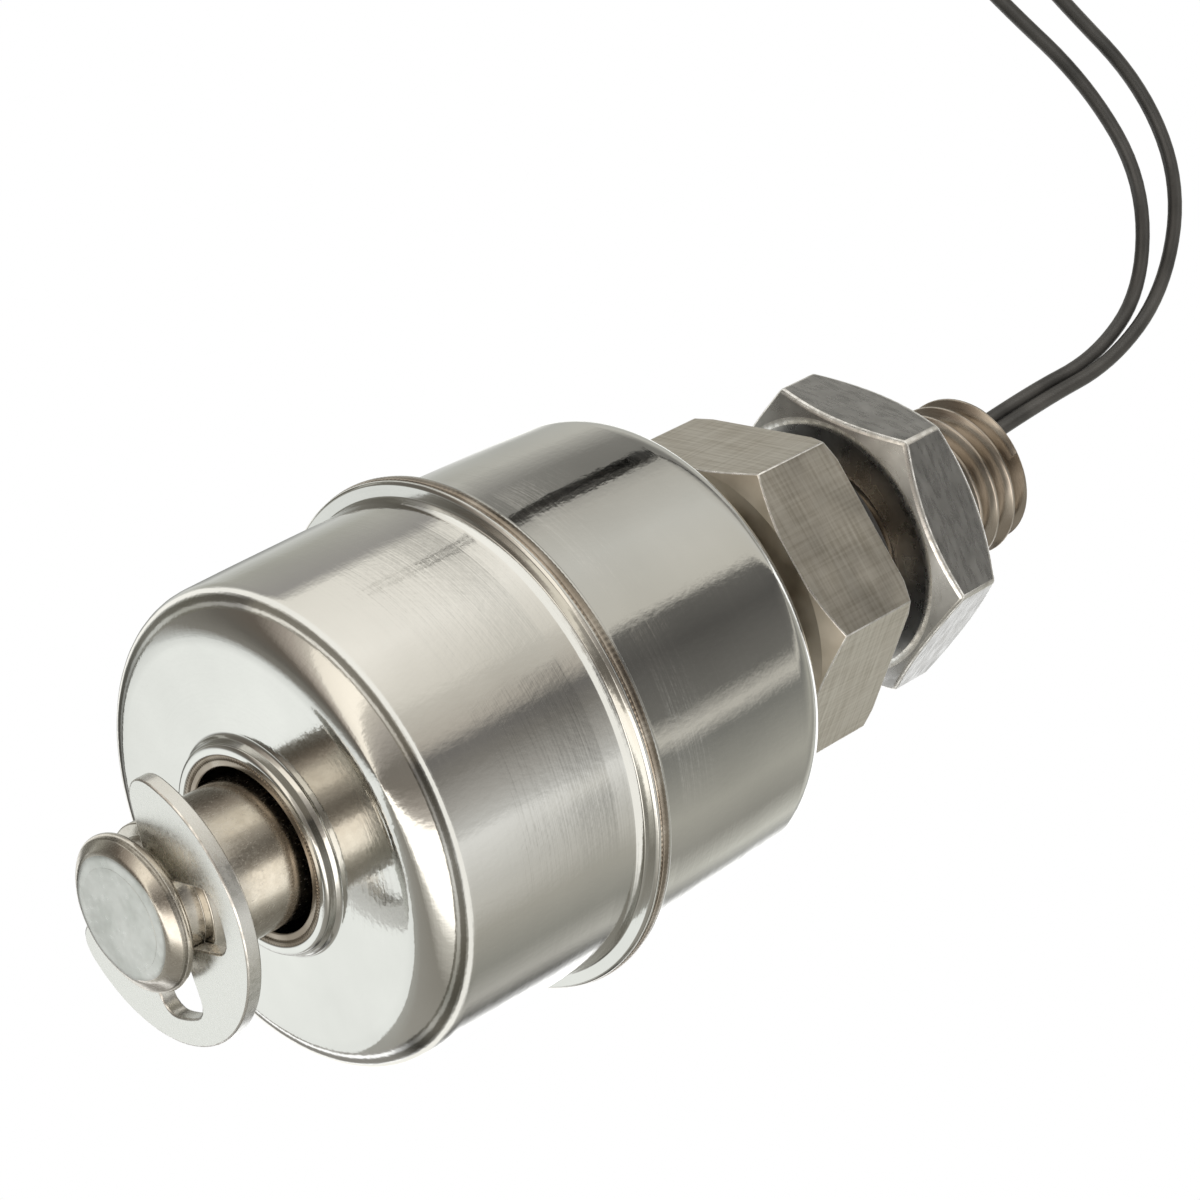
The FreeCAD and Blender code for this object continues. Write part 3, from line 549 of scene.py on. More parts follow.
def wear_head(piece):
    """Makes the head oval, sets its face off the middle and gives the flat of it a rubbed finish."""
    for vert in piece.data.vertices:
        down = (vert.co.z / MM - TIP_Z) / HEAD_LONG
        if down < 1:
            fade = 1 - max(0.0, down) ** 2
            angle = math.atan2(vert.co.y, vert.co.x)
            dents = HEAD_DENTS * math.sin(5 * angle + 1) * math.sin(3 * angle)
            pull = 1 + fade * (HEAD_OVAL * math.cos(2 * (angle - HEAD_WIDE_AT)) + dents)
            near_face = max(0.0, 1 - down / FACE_FADE) * min(1.0, away_of(vert) / FACE_RADIUS)
            vert.co.x = vert.co.x * pull + FACE_SHIFT.x * near_face * MM
            vert.co.y = vert.co.y * pull + FACE_SHIFT.y * near_face * MM
    piece.data.update()
    piece.data.materials.append(rubbed_face)
    for side in piece.data.polygons:
        rubbed = side.normal.z < RUBBED_DOWN and side.center.z < (TIP_Z + RUBBED_DEEP) * MM
        side.material_index = 1 if rubbed else 0


stem = turned("stem_and_head", [
    (PLUG_RADIUS, SEAT_TOP), (PLUG_RADIUS, TIP_Z), (3.56, TIP_Z, 0.9), (4.5, TIP_Z + 0.8, 0.55),
    (4.47, TIP_Z + 1.3, 0.35), (3.75, TIP_Z + 1.72, 0.3), (GROOVE_RADIUS + 0.02, GROOVE_FOOT, 0.1),
    (GROOVE_RADIUS, GROOVE_TOP, 0.06), (STEM_RADIUS, GROOVE_TOP, 0.12), (STEM_RADIUS, STEM_TOP),
    (STEM_BORE, STEM_TOP), (STEM_BORE, SEAT_TOP),
], 160, ground_steel, "switch_body", ["stem_tube"], 6)
wear_head(stem)

# %% Tip plug
plug = turned("plug_in_tip", [
    (0.0, TIP_Z - PLUG_PROUD), (PLUG_RADIUS, TIP_Z - PLUG_PROUD, PLUG_PROUD),
    (PLUG_RADIUS, PLUG_TOP), (0.0, PLUG_TOP),
], 160, ground_steel, "switch_body", ["tip_plug"], 6)
wear_head(plug)

# %% [markdown]
# ## The retaining clip
# A clip of the E kind is stamped from spring steel: three prongs bite into the groove and two lobes are
# cut out between them. The outline is walked like a drawing with compasses: a vertex spun about the
# axis leaves an arc behind it, and straight edges join the arcs. Corners are rounded by bevels of
# their vertices. The filled outline is then pulled up to the sheet's thickness.

# %% Stamped spring steel
clip_steel = spotted(
    "tumbled_spring_steel", "#dbdbd8", METAL, (3200.0, 4.0),
    [(0.25, "#d3d3cf"), (0.5, "#dcdcd9"), (0.75, "#e3e3e0")], (0.2, 0.34, 0.3, 0.7), (0.003, 0.5))

# %% Edges that rub, painted bright as a highlight
# Rubbed edges: partly real wear, partly a painted highlight in their near-white colour
worn_and_highlit_edge = spotted(
    "worn_edge_painted_highlight", "#f0efec", METAL, (2200.0, 4.0),
    [(0.35, "#d4d2ce"), (0.6, "#f6f5f3")], (0.38, 0.2, 0.3, 0.7), (0.01, 0.5))

# %% Retaining clip
CLIP_Z = -47.8
CLIP_THICK = 0.9
CLIP_TURN = 136.5
# The arcs are drawn in steps of about this many degrees
CLIP_STEP = 3
# Arcs about the axis: radius, first and last angle from the middle of the mouth, round at both ends
CLIP_ARCS = [
    (7.95, 57.0, 303.0, 2.3), (3.5, 294.0, 253.0, 0.15), (6.35, 238.0, 205.0, 0.9),
    (3.5, 189.0, 171.0, 0.15), (6.35, 155.0, 122.0, 0.9), (3.5, 107.0, 66.0, 0.15),
]


def clip_corner(bm, radius, angle):
    """A vertex of the clip's outline, from its polar place about the axis."""
    turned_to = math.radians(angle + CLIP_TURN)
    place = (radius * math.cos(turned_to), radius * math.sin(turned_to), CLIP_Z)
    return bm.verts.new(Vector(place) * MM)


def swing_arc(bm, radius, first, last, bend):
    """An arc left by a vertex spun about the axis, and beyond each end the corner of its tangent."""
    trim = math.copysign(math.degrees(bend / radius), last - first)
    start = clip_corner(bm, radius, first + trim)
    sweep = last - first - 2 * trim
    made = bmesh.ops.spin(bm, geom=[start], cent=(0, 0, 0), axis=(0, 0, 1), dvec=(0, 0, 0),
                          angle=math.radians(sweep), steps=max(4, int(abs(sweep) / CLIP_STEP)),
                          use_merge=False)
    corners = [clip_corner(bm, radius / math.cos(bend / radius), angle) for angle in (first, last)]
    bm.edges.new((corners[0], start))
    bm.edges.new((made["geom_last"][0], corners[1]))
    return corners


bm = bmesh.new()
arc_corners = [swing_arc(bm, *arc) for arc in CLIP_ARCS]
for (_, end), (start, _) in zip(arc_corners, arc_corners[1:] + arc_corners[:1]):
    bm.edges.new((end, start))
for corners, (radius, _, _, bend) in zip(arc_corners, CLIP_ARCS):
    for corner in corners:
        bmesh.ops.bevel(bm, geom=[corner], offset=radius * math.tan(bend / radius) * 0.999 * MM,
                        segments=max(2, round(bend * 5)), profile=0.5, affect="VERTICES", material=-1)
bmesh.ops.remove_doubles(bm, verts=bm.verts[:], dist=0.02 * MM)
bmesh.ops.contextual_create(bm, geom=bm.edges[:])
lift_face(bm, CLIP_THICK)
clip = finish_piece("spring_clip", bm, clip_steel, "switch_body", ["retaining_clip"])
soften(clip, 0.1, 2, worn_and_highlit_edge)

# %% [markdown]
# ## Bar stock: the hex body
# The body is turned from drawn hexagon bar. Its six flats keep the skin of the bar, matt and crossed by
# fine lines from drawing and from the vice, and its edges are worn, with a painted highlight in their pale
# colour. Lines along the stem and lines across it come from two noises, each stretched some 20 times one
# way.

# %% Drawn bar stainless
bar_steel, tree, shader = new_finish("drawn_bar_stainless", "#cfcac0", METAL)
along = noise(tree, 1.0, 3.0, (5200, 5200, 260))
cross = noise(tree, 1.0, 3.0, (240, 240, 5200))
stain = noise(tree, 420.0, 4.0)
hatch = blend(tree, 0.6, along, cross)
tint(tree, shader, hatch, [(0.36, "#bdb7ab"), (0.5, "#cfcac0"), (0.62, "#dad6cd")])
roughen(tree, shader, stain, 0.28, 0.42, 0.3, 0.7)
relief(tree, shader, hatch, 0.005, 0.5)

# %% Rings that become a hexagonal piece
RING_CUTS = 15


def hexagon_ring(bm, flats, first_angle):
    """A hexagon of many short edges; returns its edges."""
    corner = flats / 2 / math.cos(math.radians(30))
    bmesh.ops.create_circle(bm, cap_ends=False, segments=6, radius=corner * MM)
    turn = Matrix.Rotation(math.radians(first_angle - 30), 3, "Z")
    bmesh.ops.rotate(bm, verts=bm.verts[:], cent=(0, 0, 0), matrix=turn)
    bmesh.ops.subdivide_edges(bm, edges=bm.edges[:], cuts=RING_CUTS)
    return bm.edges[:]


def draw_rings(bm, ring, steps):
    """Rings drawn out of each other, each to its (radius, height): a number, a function or None to stay."""
    for radius, height in steps:
        made = bmesh.ops.extrude_edge_only(bm, edges=ring)["geom"]
        fresh = set(verts_in(made))
        for vert in fresh:
            away = away_of(vert)
            if height is not None:
                vert.co.z = (height(away) if callable(height) else height) * MM
            if radius is not None:
                pull = (radius(away) if callable(radius) else radius) / away
                vert.co.x *= pull
                vert.co.y *= pull
        ring = [edge for edge in edges_in(made) if fresh.issuperset(edge.verts)]
    return ring


# %% Turned face steel
turned_face, tree, shader = new_finish("turned_bar_face", "#c4baab", METAL)
tool_rings = lines_round(tree, 5200.0, 60.0)
patch = noise(tree, 500.0, 3.0)
tint(tree, shader, patch, [(0.3, "#b8ae9f"), (0.7, "#cec6b9")])
roughen(tree, shader, patch, 0.26, 0.42, 0.3, 0.7)
relief(tree, shader, tool_rings, 0.004, 0.6)

# %% Hex head
HEX_FLATS = 18.0
HEX_LONG = 6.65
HEX_TURN = 40.3
HEX_CORNER = HEX_FLATS / 2 / math.cos(math.radians(30))
# Each chamfer is a cone: its slope, how much it takes off a corner, and the radius where it begins
SLOPE = math.tan(math.radians(30))
BACK_CHAMFER = 0.336
BACK_RIM = HEX_CORNER - BACK_CHAMFER / SLOPE
FRONT_SLOPE = math.tan(math.radians(33.4))
FRONT_CHAMFER = 0.85
FRONT_RIM = HEX_CORNER - FRONT_CHAMFER / FRONT_SLOPE
# The hole narrows above the stem's end, under the tail
TAIL_HOLE = 4.0
STEM_HOLE = 4.25
HOLE_EDGE = 0.1
bm = bmesh.new()
front = hexagon_ring(bm, HEX_FLATS, HEX_TURN)
for vert in bm.verts:
    vert.co.z = (max(0.0, away_of(vert) - FRONT_RIM) * FRONT_SLOPE - HEX_LONG) * MM
hole = draw_rings(bm, front, [
    (None, lambda away: -max(0.0, away - BACK_RIM) * SLOPE), (lambda away: min(away, BACK_RIM), 0.0),
    (TAIL_HOLE, None), (None, STEM_TOP), (STEM_HOLE, None), (None, HOLE_EDGE - HEX_LONG),
])
face = draw_rings(bm, front, [
    (lambda away: min(away, FRONT_RIM), -HEX_LONG), (STEM_HOLE + HOLE_EDGE, None),
])
bmesh.ops.bridge_loops(bm, edges=face + hole)
hex_head = finish_piece("hex_head", bm, bar_steel, "switch_body", ["hex_body"], 20.0)
hex_head.data.materials.append(turned_face)
for side in hex_head.data.polygons:
    side.material_index = 1 if side.normal.z < -0.5 else 0
soften(hex_head, 0.14, 2, worn_and_highlit_edge, 36)

# %% [markdown]
# ## The screw thread
# The tail is cut with a right-hand thread, 1.5 mm from crest to crest. A screw is a profile that climbs
# while it turns, and spin does that when it is given a step along the axis as well. The profile of one
# pitch is wound up for 14 turns, neighbouring turns are merged, and a plane cuts both ends square. The
# end's chamfer comes from drawing in every vertex past a cone.

# %% Cut thread steel
# The warm brown of this colour is partly a painted reflection of brown surroundings, over the steel's own
# grey.
thread_steel, tree, shader = new_finish("cut_thread_stainless", "#beb09f", METAL)
tool_marks = lines_round(tree, 9000.0, 200.0)
tone = noise(tree, 300.0, 2.0)
tint(tree, shader, tone, [(0.3, "#aea396"), (0.7, "#c9c1b7")])
roughen(tree, shader, tool_marks, 0.14, 0.27, 0.3, 0.7)
relief(tree, shader, tool_marks, 0.002, 0.6)

# %% Threaded tail
PITCH = 1.5
CREST = 4.95
ROOT = 4.03
TAIL_END = 17.5
TAIL_CHAMFER = 0.8
TAIL_BORE = 3.0
BORE_EDGE = 0.15
# The tail starts inside the hex body, and the winding starts well below it
TAIL_START = -1.0
THREAD_START = -3.0
THREAD_TURNS = 14
THREAD_STEPS = 72
THREAD_PROFILE = [
    (ROOT + 0.05, 0.0), (ROOT, 0.12), (ROOT, 0.27), (CREST - 0.05, 0.63), (CREST, 0.69),
    (CREST, 0.81), (CREST - 0.05, 0.87), (ROOT, 1.23), (ROOT, 1.38), (ROOT + 0.05, PITCH),
]
bm = bmesh.new()
draw_profile(bm, [(radius, height + THREAD_START) for radius, height in THREAD_PROFILE], closed=False)
bmesh.ops.spin(bm, geom=bm.verts[:] + bm.edges[:], cent=(0, 0, 0), axis=(0, 0, 1),
               dvec=(0, 0, PITCH / THREAD_STEPS * MM), angle=math.tau * THREAD_TURNS,
               steps=THREAD_STEPS * THREAD_TURNS, use_merge=False)
bmesh.ops.remove_doubles(bm, verts=bm.verts[:], dist=0.004 * MM)


def cut_level(bm, height, above, below):
    """A level cut through the whole mesh; returns the edges in the cut."""
    made = bmesh.ops.bisect_plane(bm, geom=bm.verts[:] + bm.edges[:] + bm.faces[:], dist=0.0005 * MM,
                                  plane_co=(0, 0, height * MM), plane_no=(0, 0, 1),
                                  clear_outer=above, clear_inner=below)
    return edges_in(made["geom_cut"])


low_rim = cut_level(bm, TAIL_START, False, True)
cut_level(bm, TAIL_END - TAIL_CHAMFER, False, False)
cut_level(bm, TAIL_END - TAIL_CHAMFER / 2, False, False)
top_rim = cut_level(bm, TAIL_END, True, False)
for vert in bm.verts:
    away = away_of(vert)
    allowed = CREST - max(0.0, vert.co.z / MM - TAIL_END + TAIL_CHAMFER)
    if away > allowed:
        vert.co.x *= allowed / away
        vert.co.y *= allowed / away
top_inner = draw_rings(bm, top_rim, [(TAIL_BORE + BORE_EDGE, None), (TAIL_BORE, TAIL_END - BORE_EDGE)])
low_inner = draw_rings(bm, [edge for edge in low_rim if edge.is_valid], [(TAIL_BORE, None)])
bmesh.ops.bridge_loops(bm, edges=top_inner + low_inner)
soften(finish_piece("threaded_tail", bm, thread_steel, "switch_body", [], 50.0), 0)

# %% [markdown]
# ## Gasket and lock nut
# A soft black ring seals the body against the tank, and a thin nut holds it from behind. The nut is cut
# from bar and chamfered on both faces by a tool held at 30 degrees, which leaves a round face and a
# curved line across each flat. Those curves come from the rings: each vertex of the hexagon drops by
# its distance beyond the round face.

# %% Gasket
gasket_rubber = spotted(
    "moulded_black_rubber", "#1b1a19", {"IOR": 1.52}, (900.0, 5.0),
    [(0.3, "#161514"), (0.75, "#282624")], (0.45, 0.7), (0.01, 0.5))
turned("seal_ring", [(5.0, 0.0, 0.1), (8.0, 0.0, 0.25), (8.0, 1.3, 0.25), (5.0, 1.3, 0.1)],
       128, gasket_rubber, "switch_body", ["sealing_gasket"], 5)

# %% Nut steel
nut_steel, tree, shader = new_finish("satin_nut_stainless", "#bfbfbe", METAL)
brushing = noise(tree, 1.0, 3.0, (700, 700, 3600))
cloud = noise(tree, 700.0, 5.0)
tint(tree, shader, cloud, [(0.3, "#b3b3b2"), (0.5, "#c0c0bf"), (0.72, "#cbcbca")])
roughen(tree, shader, brushing, 0.22, 0.36, 0.3, 0.7)
relief(tree, shader, brushing, 0.005, 0.5)

# %% Lock nut
NUT_FLATS = 17.0
NUT_TURN = 52.6
NUT_LOW = 3.85
NUT_HIGH = 8.85
NUT_FACE = 8.0
NUT_BORE = 5.0
NUT_EDGE = 0.5
bm = bmesh.new()
outer = hexagon_ring(bm, NUT_FLATS, NUT_TURN)
for vert in bm.verts:
    vert.co.z = (NUT_LOW + (away_of(vert) - NUT_FACE) * SLOPE) * MM
face = draw_rings(bm, outer, [
    (None, lambda away: NUT_HIGH - (away - NUT_FACE) * SLOPE), (NUT_FACE, NUT_HIGH),
    (NUT_BORE + NUT_EDGE, None), (NUT_BORE, NUT_HIGH - NUT_EDGE), (None, NUT_LOW + NUT_EDGE),
    (NUT_BORE + NUT_EDGE, NUT_LOW), (NUT_FACE, None),
])
bmesh.ops.bridge_loops(bm, edges=outer + face)
nut = finish_piece("thin_lock_nut", bm, nut_steel, "lock_nut", ["lock_nut"], 20.0)
soften(nut, 0.22, 3, worn_and_highlit_edge)

# %% [markdown]
# ## Ends of the leads, and the tie
# The last 5 mm of each lead are stripped, twisted and tinned. A circle with seven lobes, wound up along
# its axis, has the look of seven strands under solder. A small nylon tie holds the winding together on
# the side that faces the stem.

# %% Tinned strands
tinned_copper = spotted(
    "tinned_copper_strands", "#c9c8c2", METAL, (2500.0, 3.0, (1, 1, 0.4)),
    [(0.3, "#b8b3a8"), (0.7, "#d4d4d0")], (0.22, 0.42), (0.01, 0.5))

# %% Bare ends
STRANDS = 7
STRANDS_LONG = 5.0
STRANDS_RADIUS = 0.225
STRANDS_TWIST = math.radians(500)
STRANDS_STEPS = 50


def make_strands(name, side, node):
    """The bare twisted end of a lead, hanging straight down from its jacket."""
    bm = bmesh.new()
    made = bmesh.ops.create_circle(bm, cap_ends=True, segments=6 * STRANDS,
                                   radius=STRANDS_RADIUS * MM)["verts"]
    for vert in made:
        vert.co *= 0.92 + 0.09 * math.cos(STRANDS * math.atan2(vert.co.y, vert.co.x))
    spot = Vector((HANG_X, side * HANG_Y, JACKET_END - STRANDS_LONG)) * MM
    bmesh.ops.translate(bm, verts=made, vec=spot)
    bmesh.ops.spin(bm, geom=bm.faces[:], cent=spot, axis=(0, 0, 1), angle=STRANDS_TWIST,
                   dvec=(0, 0, STRANDS_LONG / STRANDS_STEPS * MM), steps=STRANDS_STEPS, use_merge=False)
    return finish_piece(name, bm, tinned_copper, "switch_body", [node], 60.0)


strands_a = make_strands("bare_end_a", 1, "lead_a_tip")
strands_b = make_strands("bare_end_b", -1, "lead_b_tip")

# %% Nylon tie
tie_nylon = spotted(
    "moulded_black_nylon", "#2e2d2b", {"IOR": 1.53}, (1800.0, 3.0),
    [(0.3, "#282725"), (0.7, "#383633")], (0.35, 0.55), (0.01, 0.4))
TIE_X = COIL_MIDDLE[0] + COIL_RADIUS
TIE_INSIDE = 1.97
TIE_OUTSIDE = 2.45
TIE_WIDE = 1.6
TIE_ROUND = 0.9
TIE_FOOT = (COIL_MIDDLE[1] - TIE_WIDE / 2) * MM
bm = bmesh.new()
loop = [bm.verts.new(((TIE_X + i * TIE_OUTSIDE) * MM, j * TIE_OUTSIDE * MM, TIE_FOOT))
        for i, j in ((1, 1), (-1, 1), (-1, -1), (1, -1))]
for first, second in zip(loop, loop[1:] + loop[:1]):
    bm.edges.new((first, second))
bmesh.ops.bevel(bm, geom=loop, offset=TIE_ROUND * MM, segments=6, profile=0.5,
                affect="VERTICES", material=-1)
inner = verts_in(bmesh.ops.extrude_edge_only(bm, edges=bm.edges[:])["geom"])
shrink = Matrix.Translation((TIE_X * MM, 0, 0)) @ Matrix.Scale(TIE_INSIDE / TIE_OUTSIDE, 4)
bmesh.ops.transform(bm, matrix=shrink @ Matrix.Translation((-TIE_X * MM, 0, 0)), verts=inner)
for vert in inner:
    vert.co.z = TIE_FOOT
lift_face(bm, TIE_WIDE)
tie = finish_piece("winding_tie", bm, tie_nylon, "switch_body", ["coil_tie"])
soften(tie, 0.12)

# %% [markdown]
# ## What is inside
# The photograph doesn't show the magnet or the reed switch, but a part from a library gets cut open and
# looked into, so each inner piece has the finish of the real one. Their CAD shapes are plain enough to
# keep, and only their materials are set here.

# %% Materials for the inner pieces
def speckled(name, colour, dark, light, size, rough, settings=()):
    """A finish whose colour and roughness vary over spots of about that size in millimetres."""
    return spotted(name, colour, settings, (1 / (size * MM), 4.0), [(0.3, dark), (0.7, light)],
                   rough, (size * 0.05, 0.4))


reed_glass, tree, shader = new_finish(
    "fused_green_glass", "#dcebdc", {"Roughness": 0.03, "IOR": 1.52, "Transmission Weight": 1.0})
ripple = noise(tree, 700.0, 1.0, (1, 1, 0.3))
tint(tree, shader, ripple, [(0.35, "#d2e4d3"), (0.65, "#e4f0e4")])
relief(tree, shader, ripple, 0.01, 0.2)

# %% Dress the inner pieces
INNER_PIECES = [
    (reed_glass, ["reed_glass"]),
    (lead_jacket, ["lead_a_potted", "lead_b_potted"]),
    # Sintered ferrite: dark grey, matt and slightly grainy, as pressed powder is
    (speckled("sintered_ferrite", "#3b3a39", "#323130", "#474543", 0.3, (0.5, 0.75)), ["float_magnet"]),
    # Injection-moulded acetal: white, smooth, half matt
    (speckled("moulded_white_acetal", "#e4e1d8", "#dedbd1", "#eae8e0", 1.2, (0.32, 0.46)),
     ["magnet_spacer_tip", "magnet_spacer_flange"]),
    # Nickel-iron blade, rolled and plated
    (speckled("rolled_nickel_iron", "#bcb8ac", "#aea99c", "#c8c5bb", 0.4, (0.24, 0.4), METAL),
     ["reed_blade_upper", "reed_blade_lower"]),
    # Tinned copper wire, drawn
    (speckled("drawn_tinned_copper", "#c6c3ba", "#b9b3a6", "#d2d0c9", 0.5, (0.26, 0.42), METAL),
     ["return_wire"]),
    # Solder, flowed and cooled with a slightly frosted skin
    (speckled("flowed_solder", "#c2c4c3", "#b2b3b1", "#d0d2d1", 0.25, (0.2, 0.45), METAL),
     ["solder_lower", "solder_upper_a", "solder_upper_b"]),
    # Heat-shrink tube: black polyolefin, drawn tight, half matt
    (speckled("black_shrink_tube", "#23221f", "#1d1c1a", "#2c2a27", 0.6, (0.42, 0.6)), ["reed_sleeve"]),
    # Cast epoxy: black and glossy where it set against air
    (speckled("cast_black_epoxy", "#161514", "#121110", "#1f1d1b", 0.8, (0.12, 0.3)), ["potting"]),
]
for finish, nodes in INNER_PIECES:
    for node in nodes:
        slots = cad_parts[node].data.materials
        slots.clear()
        slots.append(finish)
print("dressed", sum(len(nodes) for _, nodes in INNER_PIECES), "CAD nodes")

# %% [markdown]
# ## The studio
# The photograph has a pure white surround and soft light. The world is white to the camera, to mirrors
# and to glass, and dimmer as a light. The pale floor lies below the view: it hands soft light back to
# the switch, and mirrors and glass see sheets of paper in its place.

# %% World
def seen_by(tree, *kinds):
    """1 for rays of those kinds and 0 for all others."""
    path = add(tree, "LightPath")
    seen = path.outputs["Is %s Ray" % kinds[0]]
    for kind in kinds[1:]:
        links = {0: seen, 1: path.outputs["Is %s Ray" % kind]}
        seen = add(tree, "Math", {"operation": "MAXIMUM"}, links).outputs["Value"]
    return seen


WORLD_AS_LIGHT = 0.6
world = bpy.data.worlds.new("white_studio")
world.use_nodes = True
scene.world = world
tree = world.node_tree
tree.nodes.clear()
seen = seen_by(tree, "Camera", "Glossy", "Transmission")
lamp = add(tree, "Background", {"Color": (1, 1, 1, 1), "Strength": WORLD_AS_LIGHT})
white = add(tree, "Background", {"Color": (1, 1, 1, 1), "Strength": 1.0})
mix = add(tree, "MixShader", {}, {0: seen, 1: lamp.outputs["Background"], 2: white.outputs["Background"]})
add(tree, "OutputWorld", {}, {"Surface": mix.outputs["Shader"]})

# %% [markdown]
# ## Cards that a mirror needs
# Polished metal shows nothing but its surroundings. Off the upright wall of the drum every reflection
# rises by some 37 degrees, and it swings round by two degrees for each degree of the drum. So a wall of
# grey cards stands round the switch and sheets of paper lie on the floor, seen by mirrors alone: pale
# ones, grey ones, and a dark one where the photographer stood. The upper cards differ from the lower
# ones, and each shade runs into the next as soft light does. A shade's place is its compass angle about
# the stem, from the X axis, and the ramps begin and end at CARDS_START.

# %% Shades by compass angle
CARDS_START = 50.0
UPPER_CARDS = [
    (62, "#ffffff"), (84, "#f6f6f2"), (100, "#bbbbb5"), (124, "#cbc9c1"), (146, "#8d8b86"),
    (160, "#888681"), (180, "#c8c5bd"), (205, "#d8d6cf"), (238, "#d6d2c8"), (243, "#6d6b67"),
    (258, "#5d5b58"), (286, "#7b7974"), (296, "#d6d2c8"), (304, "#868580"), (338, "#b8b6ac"),
    (358, "#a3a199"), (17, "#dddcd3"), (27, "#b2b2ae"), (35, "#ffffff"),
]
LOWER_CARDS = [
    (62, "#ffffff"), (80, "#8e8e8b"), (90, "#a9aaa6"), (98, "#d8d9d4"), (116, "#b6b5ac"),
    (146, "#a9a6a2"), (153, "#e9e5dc"), (198, "#eeeae2"), (226, "#e4dfd5"), (246, "#c6bfb4"),
    (253, "#797673"), (262, "#8b8781"), (276, "#b9b6b0"), (291, "#e6e5e1"), (320, "#d6d3cb"),
    (334, "#b8b5ab"), (356, "#9c9b93"), (14, "#bebcb5"), (27, "#706f6c"), (38, "#ffffff"),
]
FLOOR_SHEETS = [
    (72, "#e4e6e3"), (92, "#dcdedb"), (106, "#8d8a83"), (132, "#6f6b64"), (152, "#6f675e"),
    (172, "#b9afa4"), (187, "#eae2d5"), (216, "#f0e8db"), (235, "#b8b1a8"), (248, "#857f77"),
    (260, "#8a837a"), (270, "#b5ada3"), (280, "#fbf3e8"), (318, "#fffaf2"), (334, "#dad6cc"),
    (354, "#9b978e"), (30, "#a5a29a"), (44, "#b4b3ac"), (56, "#e2e4e1"),
]
# Brightness from which a shade begins to glow, and at which it glows most
PALE = 0.68
PALEST = 0.92


def compass(tree, place):
    """How far round the stem a place lies, from 0 to 1."""
    start = (0, 0, -math.radians(CARDS_START + 180))
    turned_place = add(tree, "Mapping", {"Rotation": start}, {"Vector": place})
    settings = {"gradient_type": "RADIAL"}
    return add(tree, "TexGradient", settings, {"Vector": turned_place.outputs["Vector"]}).outputs["Fac"]


def card_shades(tree, around, cards):
    """A colour ramp over the angle about the stem; cards are (angle, hex colour)."""
    stops = sorted(((angle - CARDS_START) % 360 / 360, colour) for angle, colour in cards)
    return shades(tree, around, stops)


def glow_of(tree, colour, strongest):
    """Light of that colour, in which the palest shades are as strong as softboxes."""
    strength = between(tree, colour, 1.0, strongest, PALE, PALEST)
    return add(tree, "Emission", {}, {"Color": colour, "Strength": strength}).outputs["Emission"]


# %% Floor
FLOOR_Z = -300.0
FLOOR_SIZE = 7000.0
floor_paint, tree, shader = new_finish("pale_studio_floor", "#f1f0ee", {"Roughness": 0.9})
seen = seen_by(tree, "Glossy", "Transmission")
place = add(tree, "TexCoord").outputs["Object"]
sheets = glow_of(tree, card_shades(tree, compass(tree, place), FLOOR_SHEETS), 2.0)
mix = add(tree, "MixShader", {}, {0: seen, 1: shader.outputs["BSDF"], 2: sheets})
tree.links.new(mix.outputs["Shader"], tree.nodes["Material Output"].inputs["Surface"])
floor_paint.cycles.emission_sampling = "NONE"
bm = bmesh.new()
bmesh.ops.create_grid(bm, x_segments=2, y_segments=2, size=FLOOR_SIZE * MM)
bmesh.ops.translate(bm, verts=bm.verts[:], vec=(0, 0, FLOOR_Z * MM))
floor = in_scene("studio_floor", mesh_of("studio_floor", bm, floor_paint))

# %% Cards round the drum
CARDS_AWAY = 900.0
CARDS_TOP = 1400.0
# The lower cards give way to the upper ones, and a lit strip lies, between these heights
SHADES_CHANGE = (540, 680)
LIT_STRIP = (100, 330)


def share_of(tree, height, low, high):
    """How far a height has come from low to high, both in millimetres, as a share."""
    return between(tree, height, 0.0, 1.0, low * MM, high * MM)


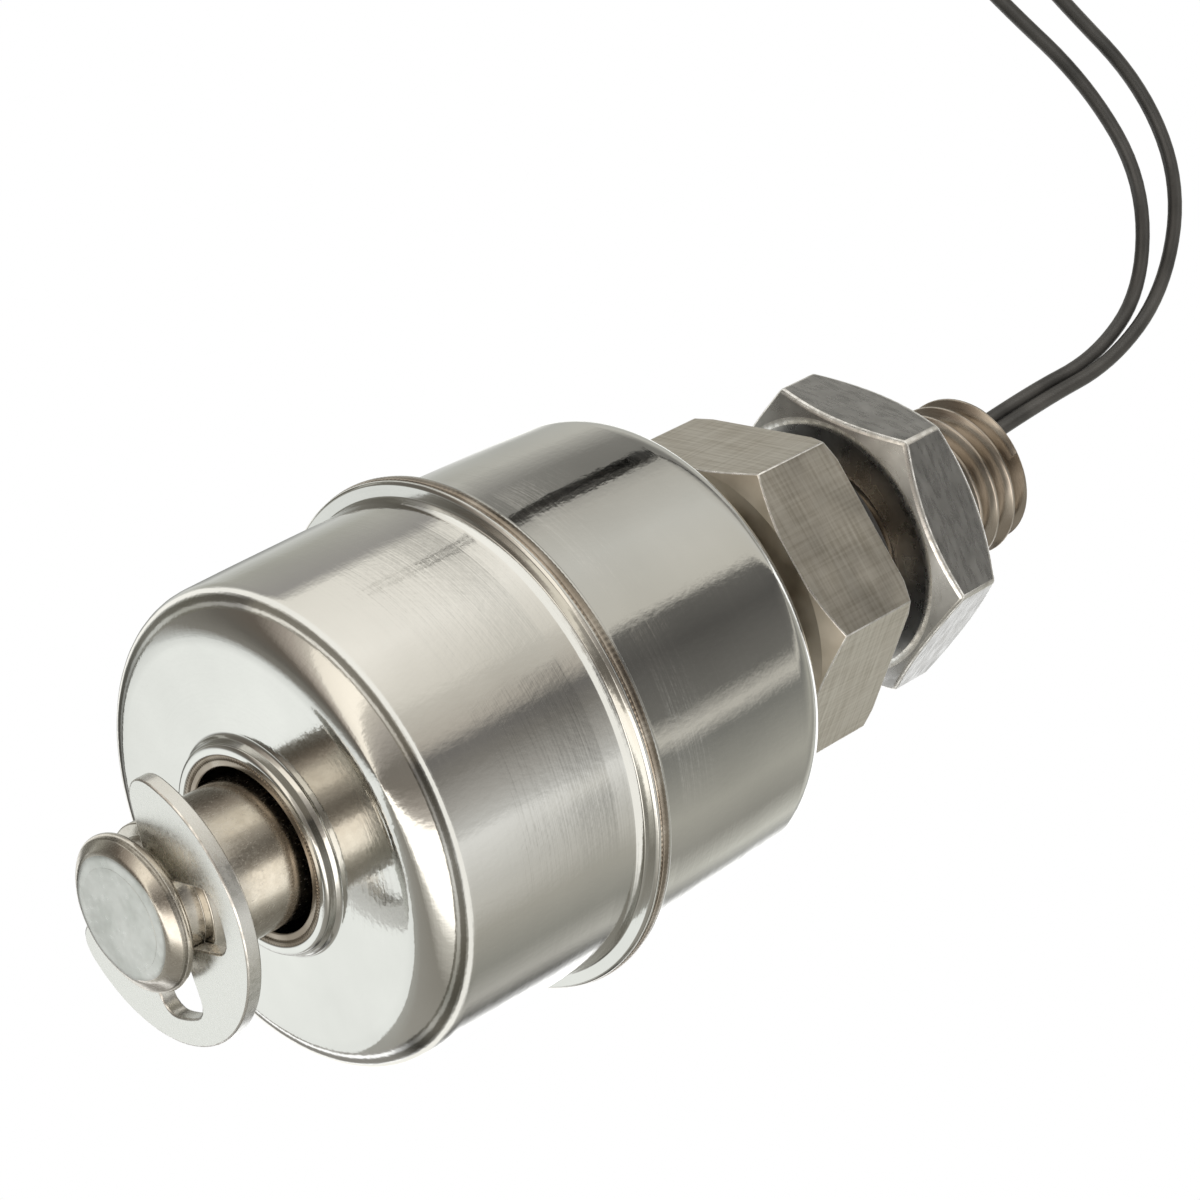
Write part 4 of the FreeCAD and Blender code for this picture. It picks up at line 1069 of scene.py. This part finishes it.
cards_finish = bpy.data.materials.new("grey_reflection_cards")
cards_finish.use_nodes = True
tree = cards_finish.node_tree
tree.nodes.clear()
place = add(tree, "TexCoord").outputs["Object"]
around = compass(tree, place)
height = add(tree, "SeparateXYZ", {}, {"Vector": place}).outputs["Z"]
colour = add(tree, "Mix", {"data_type": "RGBA"}, {
    0: share_of(tree, height, *SHADES_CHANGE),
    6: card_shades(tree, around, LOWER_CARDS),
    7: card_shades(tree, around, UPPER_CARDS),
})
level = shades(tree, share_of(tree, height, FLOOR_Z, CARDS_TOP), [
    (0.0, "#b0ada7"), (0.03, "#b0ada7"), (0.045, "#ffffff"), (0.085, "#ffffff"), (0.11, "#9a9791"),
    (0.2, "#94918b"), (0.24, "#ffffff"), (1.0, "#ffffff"),
])
both = add(tree, "Mix", {"data_type": "RGBA", "blend_type": "MULTIPLY", 0: 1.0},
           {6: colour.outputs[2], 7: level})
strip = shades(tree, share_of(tree, height, *LIT_STRIP), [
    (0.0, "#000000"), (0.15, "#ffffff"), (0.7, "#ffffff"), (1.0, "#000000"),
])
lit = add(tree, "Mix", {"data_type": "RGBA", 7: linear("#efede7")}, {0: strip, 6: both.outputs[2]})
add(tree, "OutputMaterial", {}, {"Surface": glow_of(tree, lit.outputs[2], 1.5)})
cards_finish.cycles.emission_sampling = "NONE"

bm = bmesh.new()
bmesh.ops.create_circle(bm, cap_ends=False, segments=96, radius=CARDS_AWAY * MM)
bmesh.ops.translate(bm, verts=bm.verts[:], vec=(0, 0, (FLOOR_Z + 1) * MM))
top = bmesh.ops.extrude_edge_only(bm, edges=bm.edges[:])["geom"]
bmesh.ops.translate(bm, verts=verts_in(top), vec=(0, 0, (CARDS_TOP - FLOOR_Z) * MM))
lid = [edge for edge in edges_in(top) if all(vert.co.z > 1 for vert in edge.verts)]
bmesh.ops.contextual_create(bm, geom=lid)
cards = in_scene("reflection_cards", mesh_of("reflection_cards", bm, cards_finish))
cards.visible_camera = False
cards.visible_diffuse = False
cards.visible_transmission = False
cards.visible_shadow = False

# %% Lamps
def soft_lamp(name, around, rise, away, size, power):
    """A square soft lamp that faces the drum, at a compass angle and a rise above it."""
    data = bpy.data.lights.new(name, "AREA")
    data.size = size * MM
    data.energy = power
    lamp = in_scene(name, data)
    turned_to, raised = math.radians(around), math.radians(rise)
    middle = Vector((0, 0, SEAM_Z)) * MM
    out = Matrix.Rotation(turned_to, 3, "Z") @ Vector((math.cos(raised), 0, math.sin(raised)))
    lamp.location = middle + out * away * MM
    lamp.rotation_euler = (-out).to_track_quat("-Z", "Y").to_euler()
    lamp.visible_glossy = False


soft_lamp("key_softbox", 214, 30, 480, 300, 3.0)
soft_lamp("fill_softbox", 290, 5, 460, 360, 1.6)

# %% [markdown]
# ## Finish

# %% Last line
scene.view_settings.view_transform = "Standard"
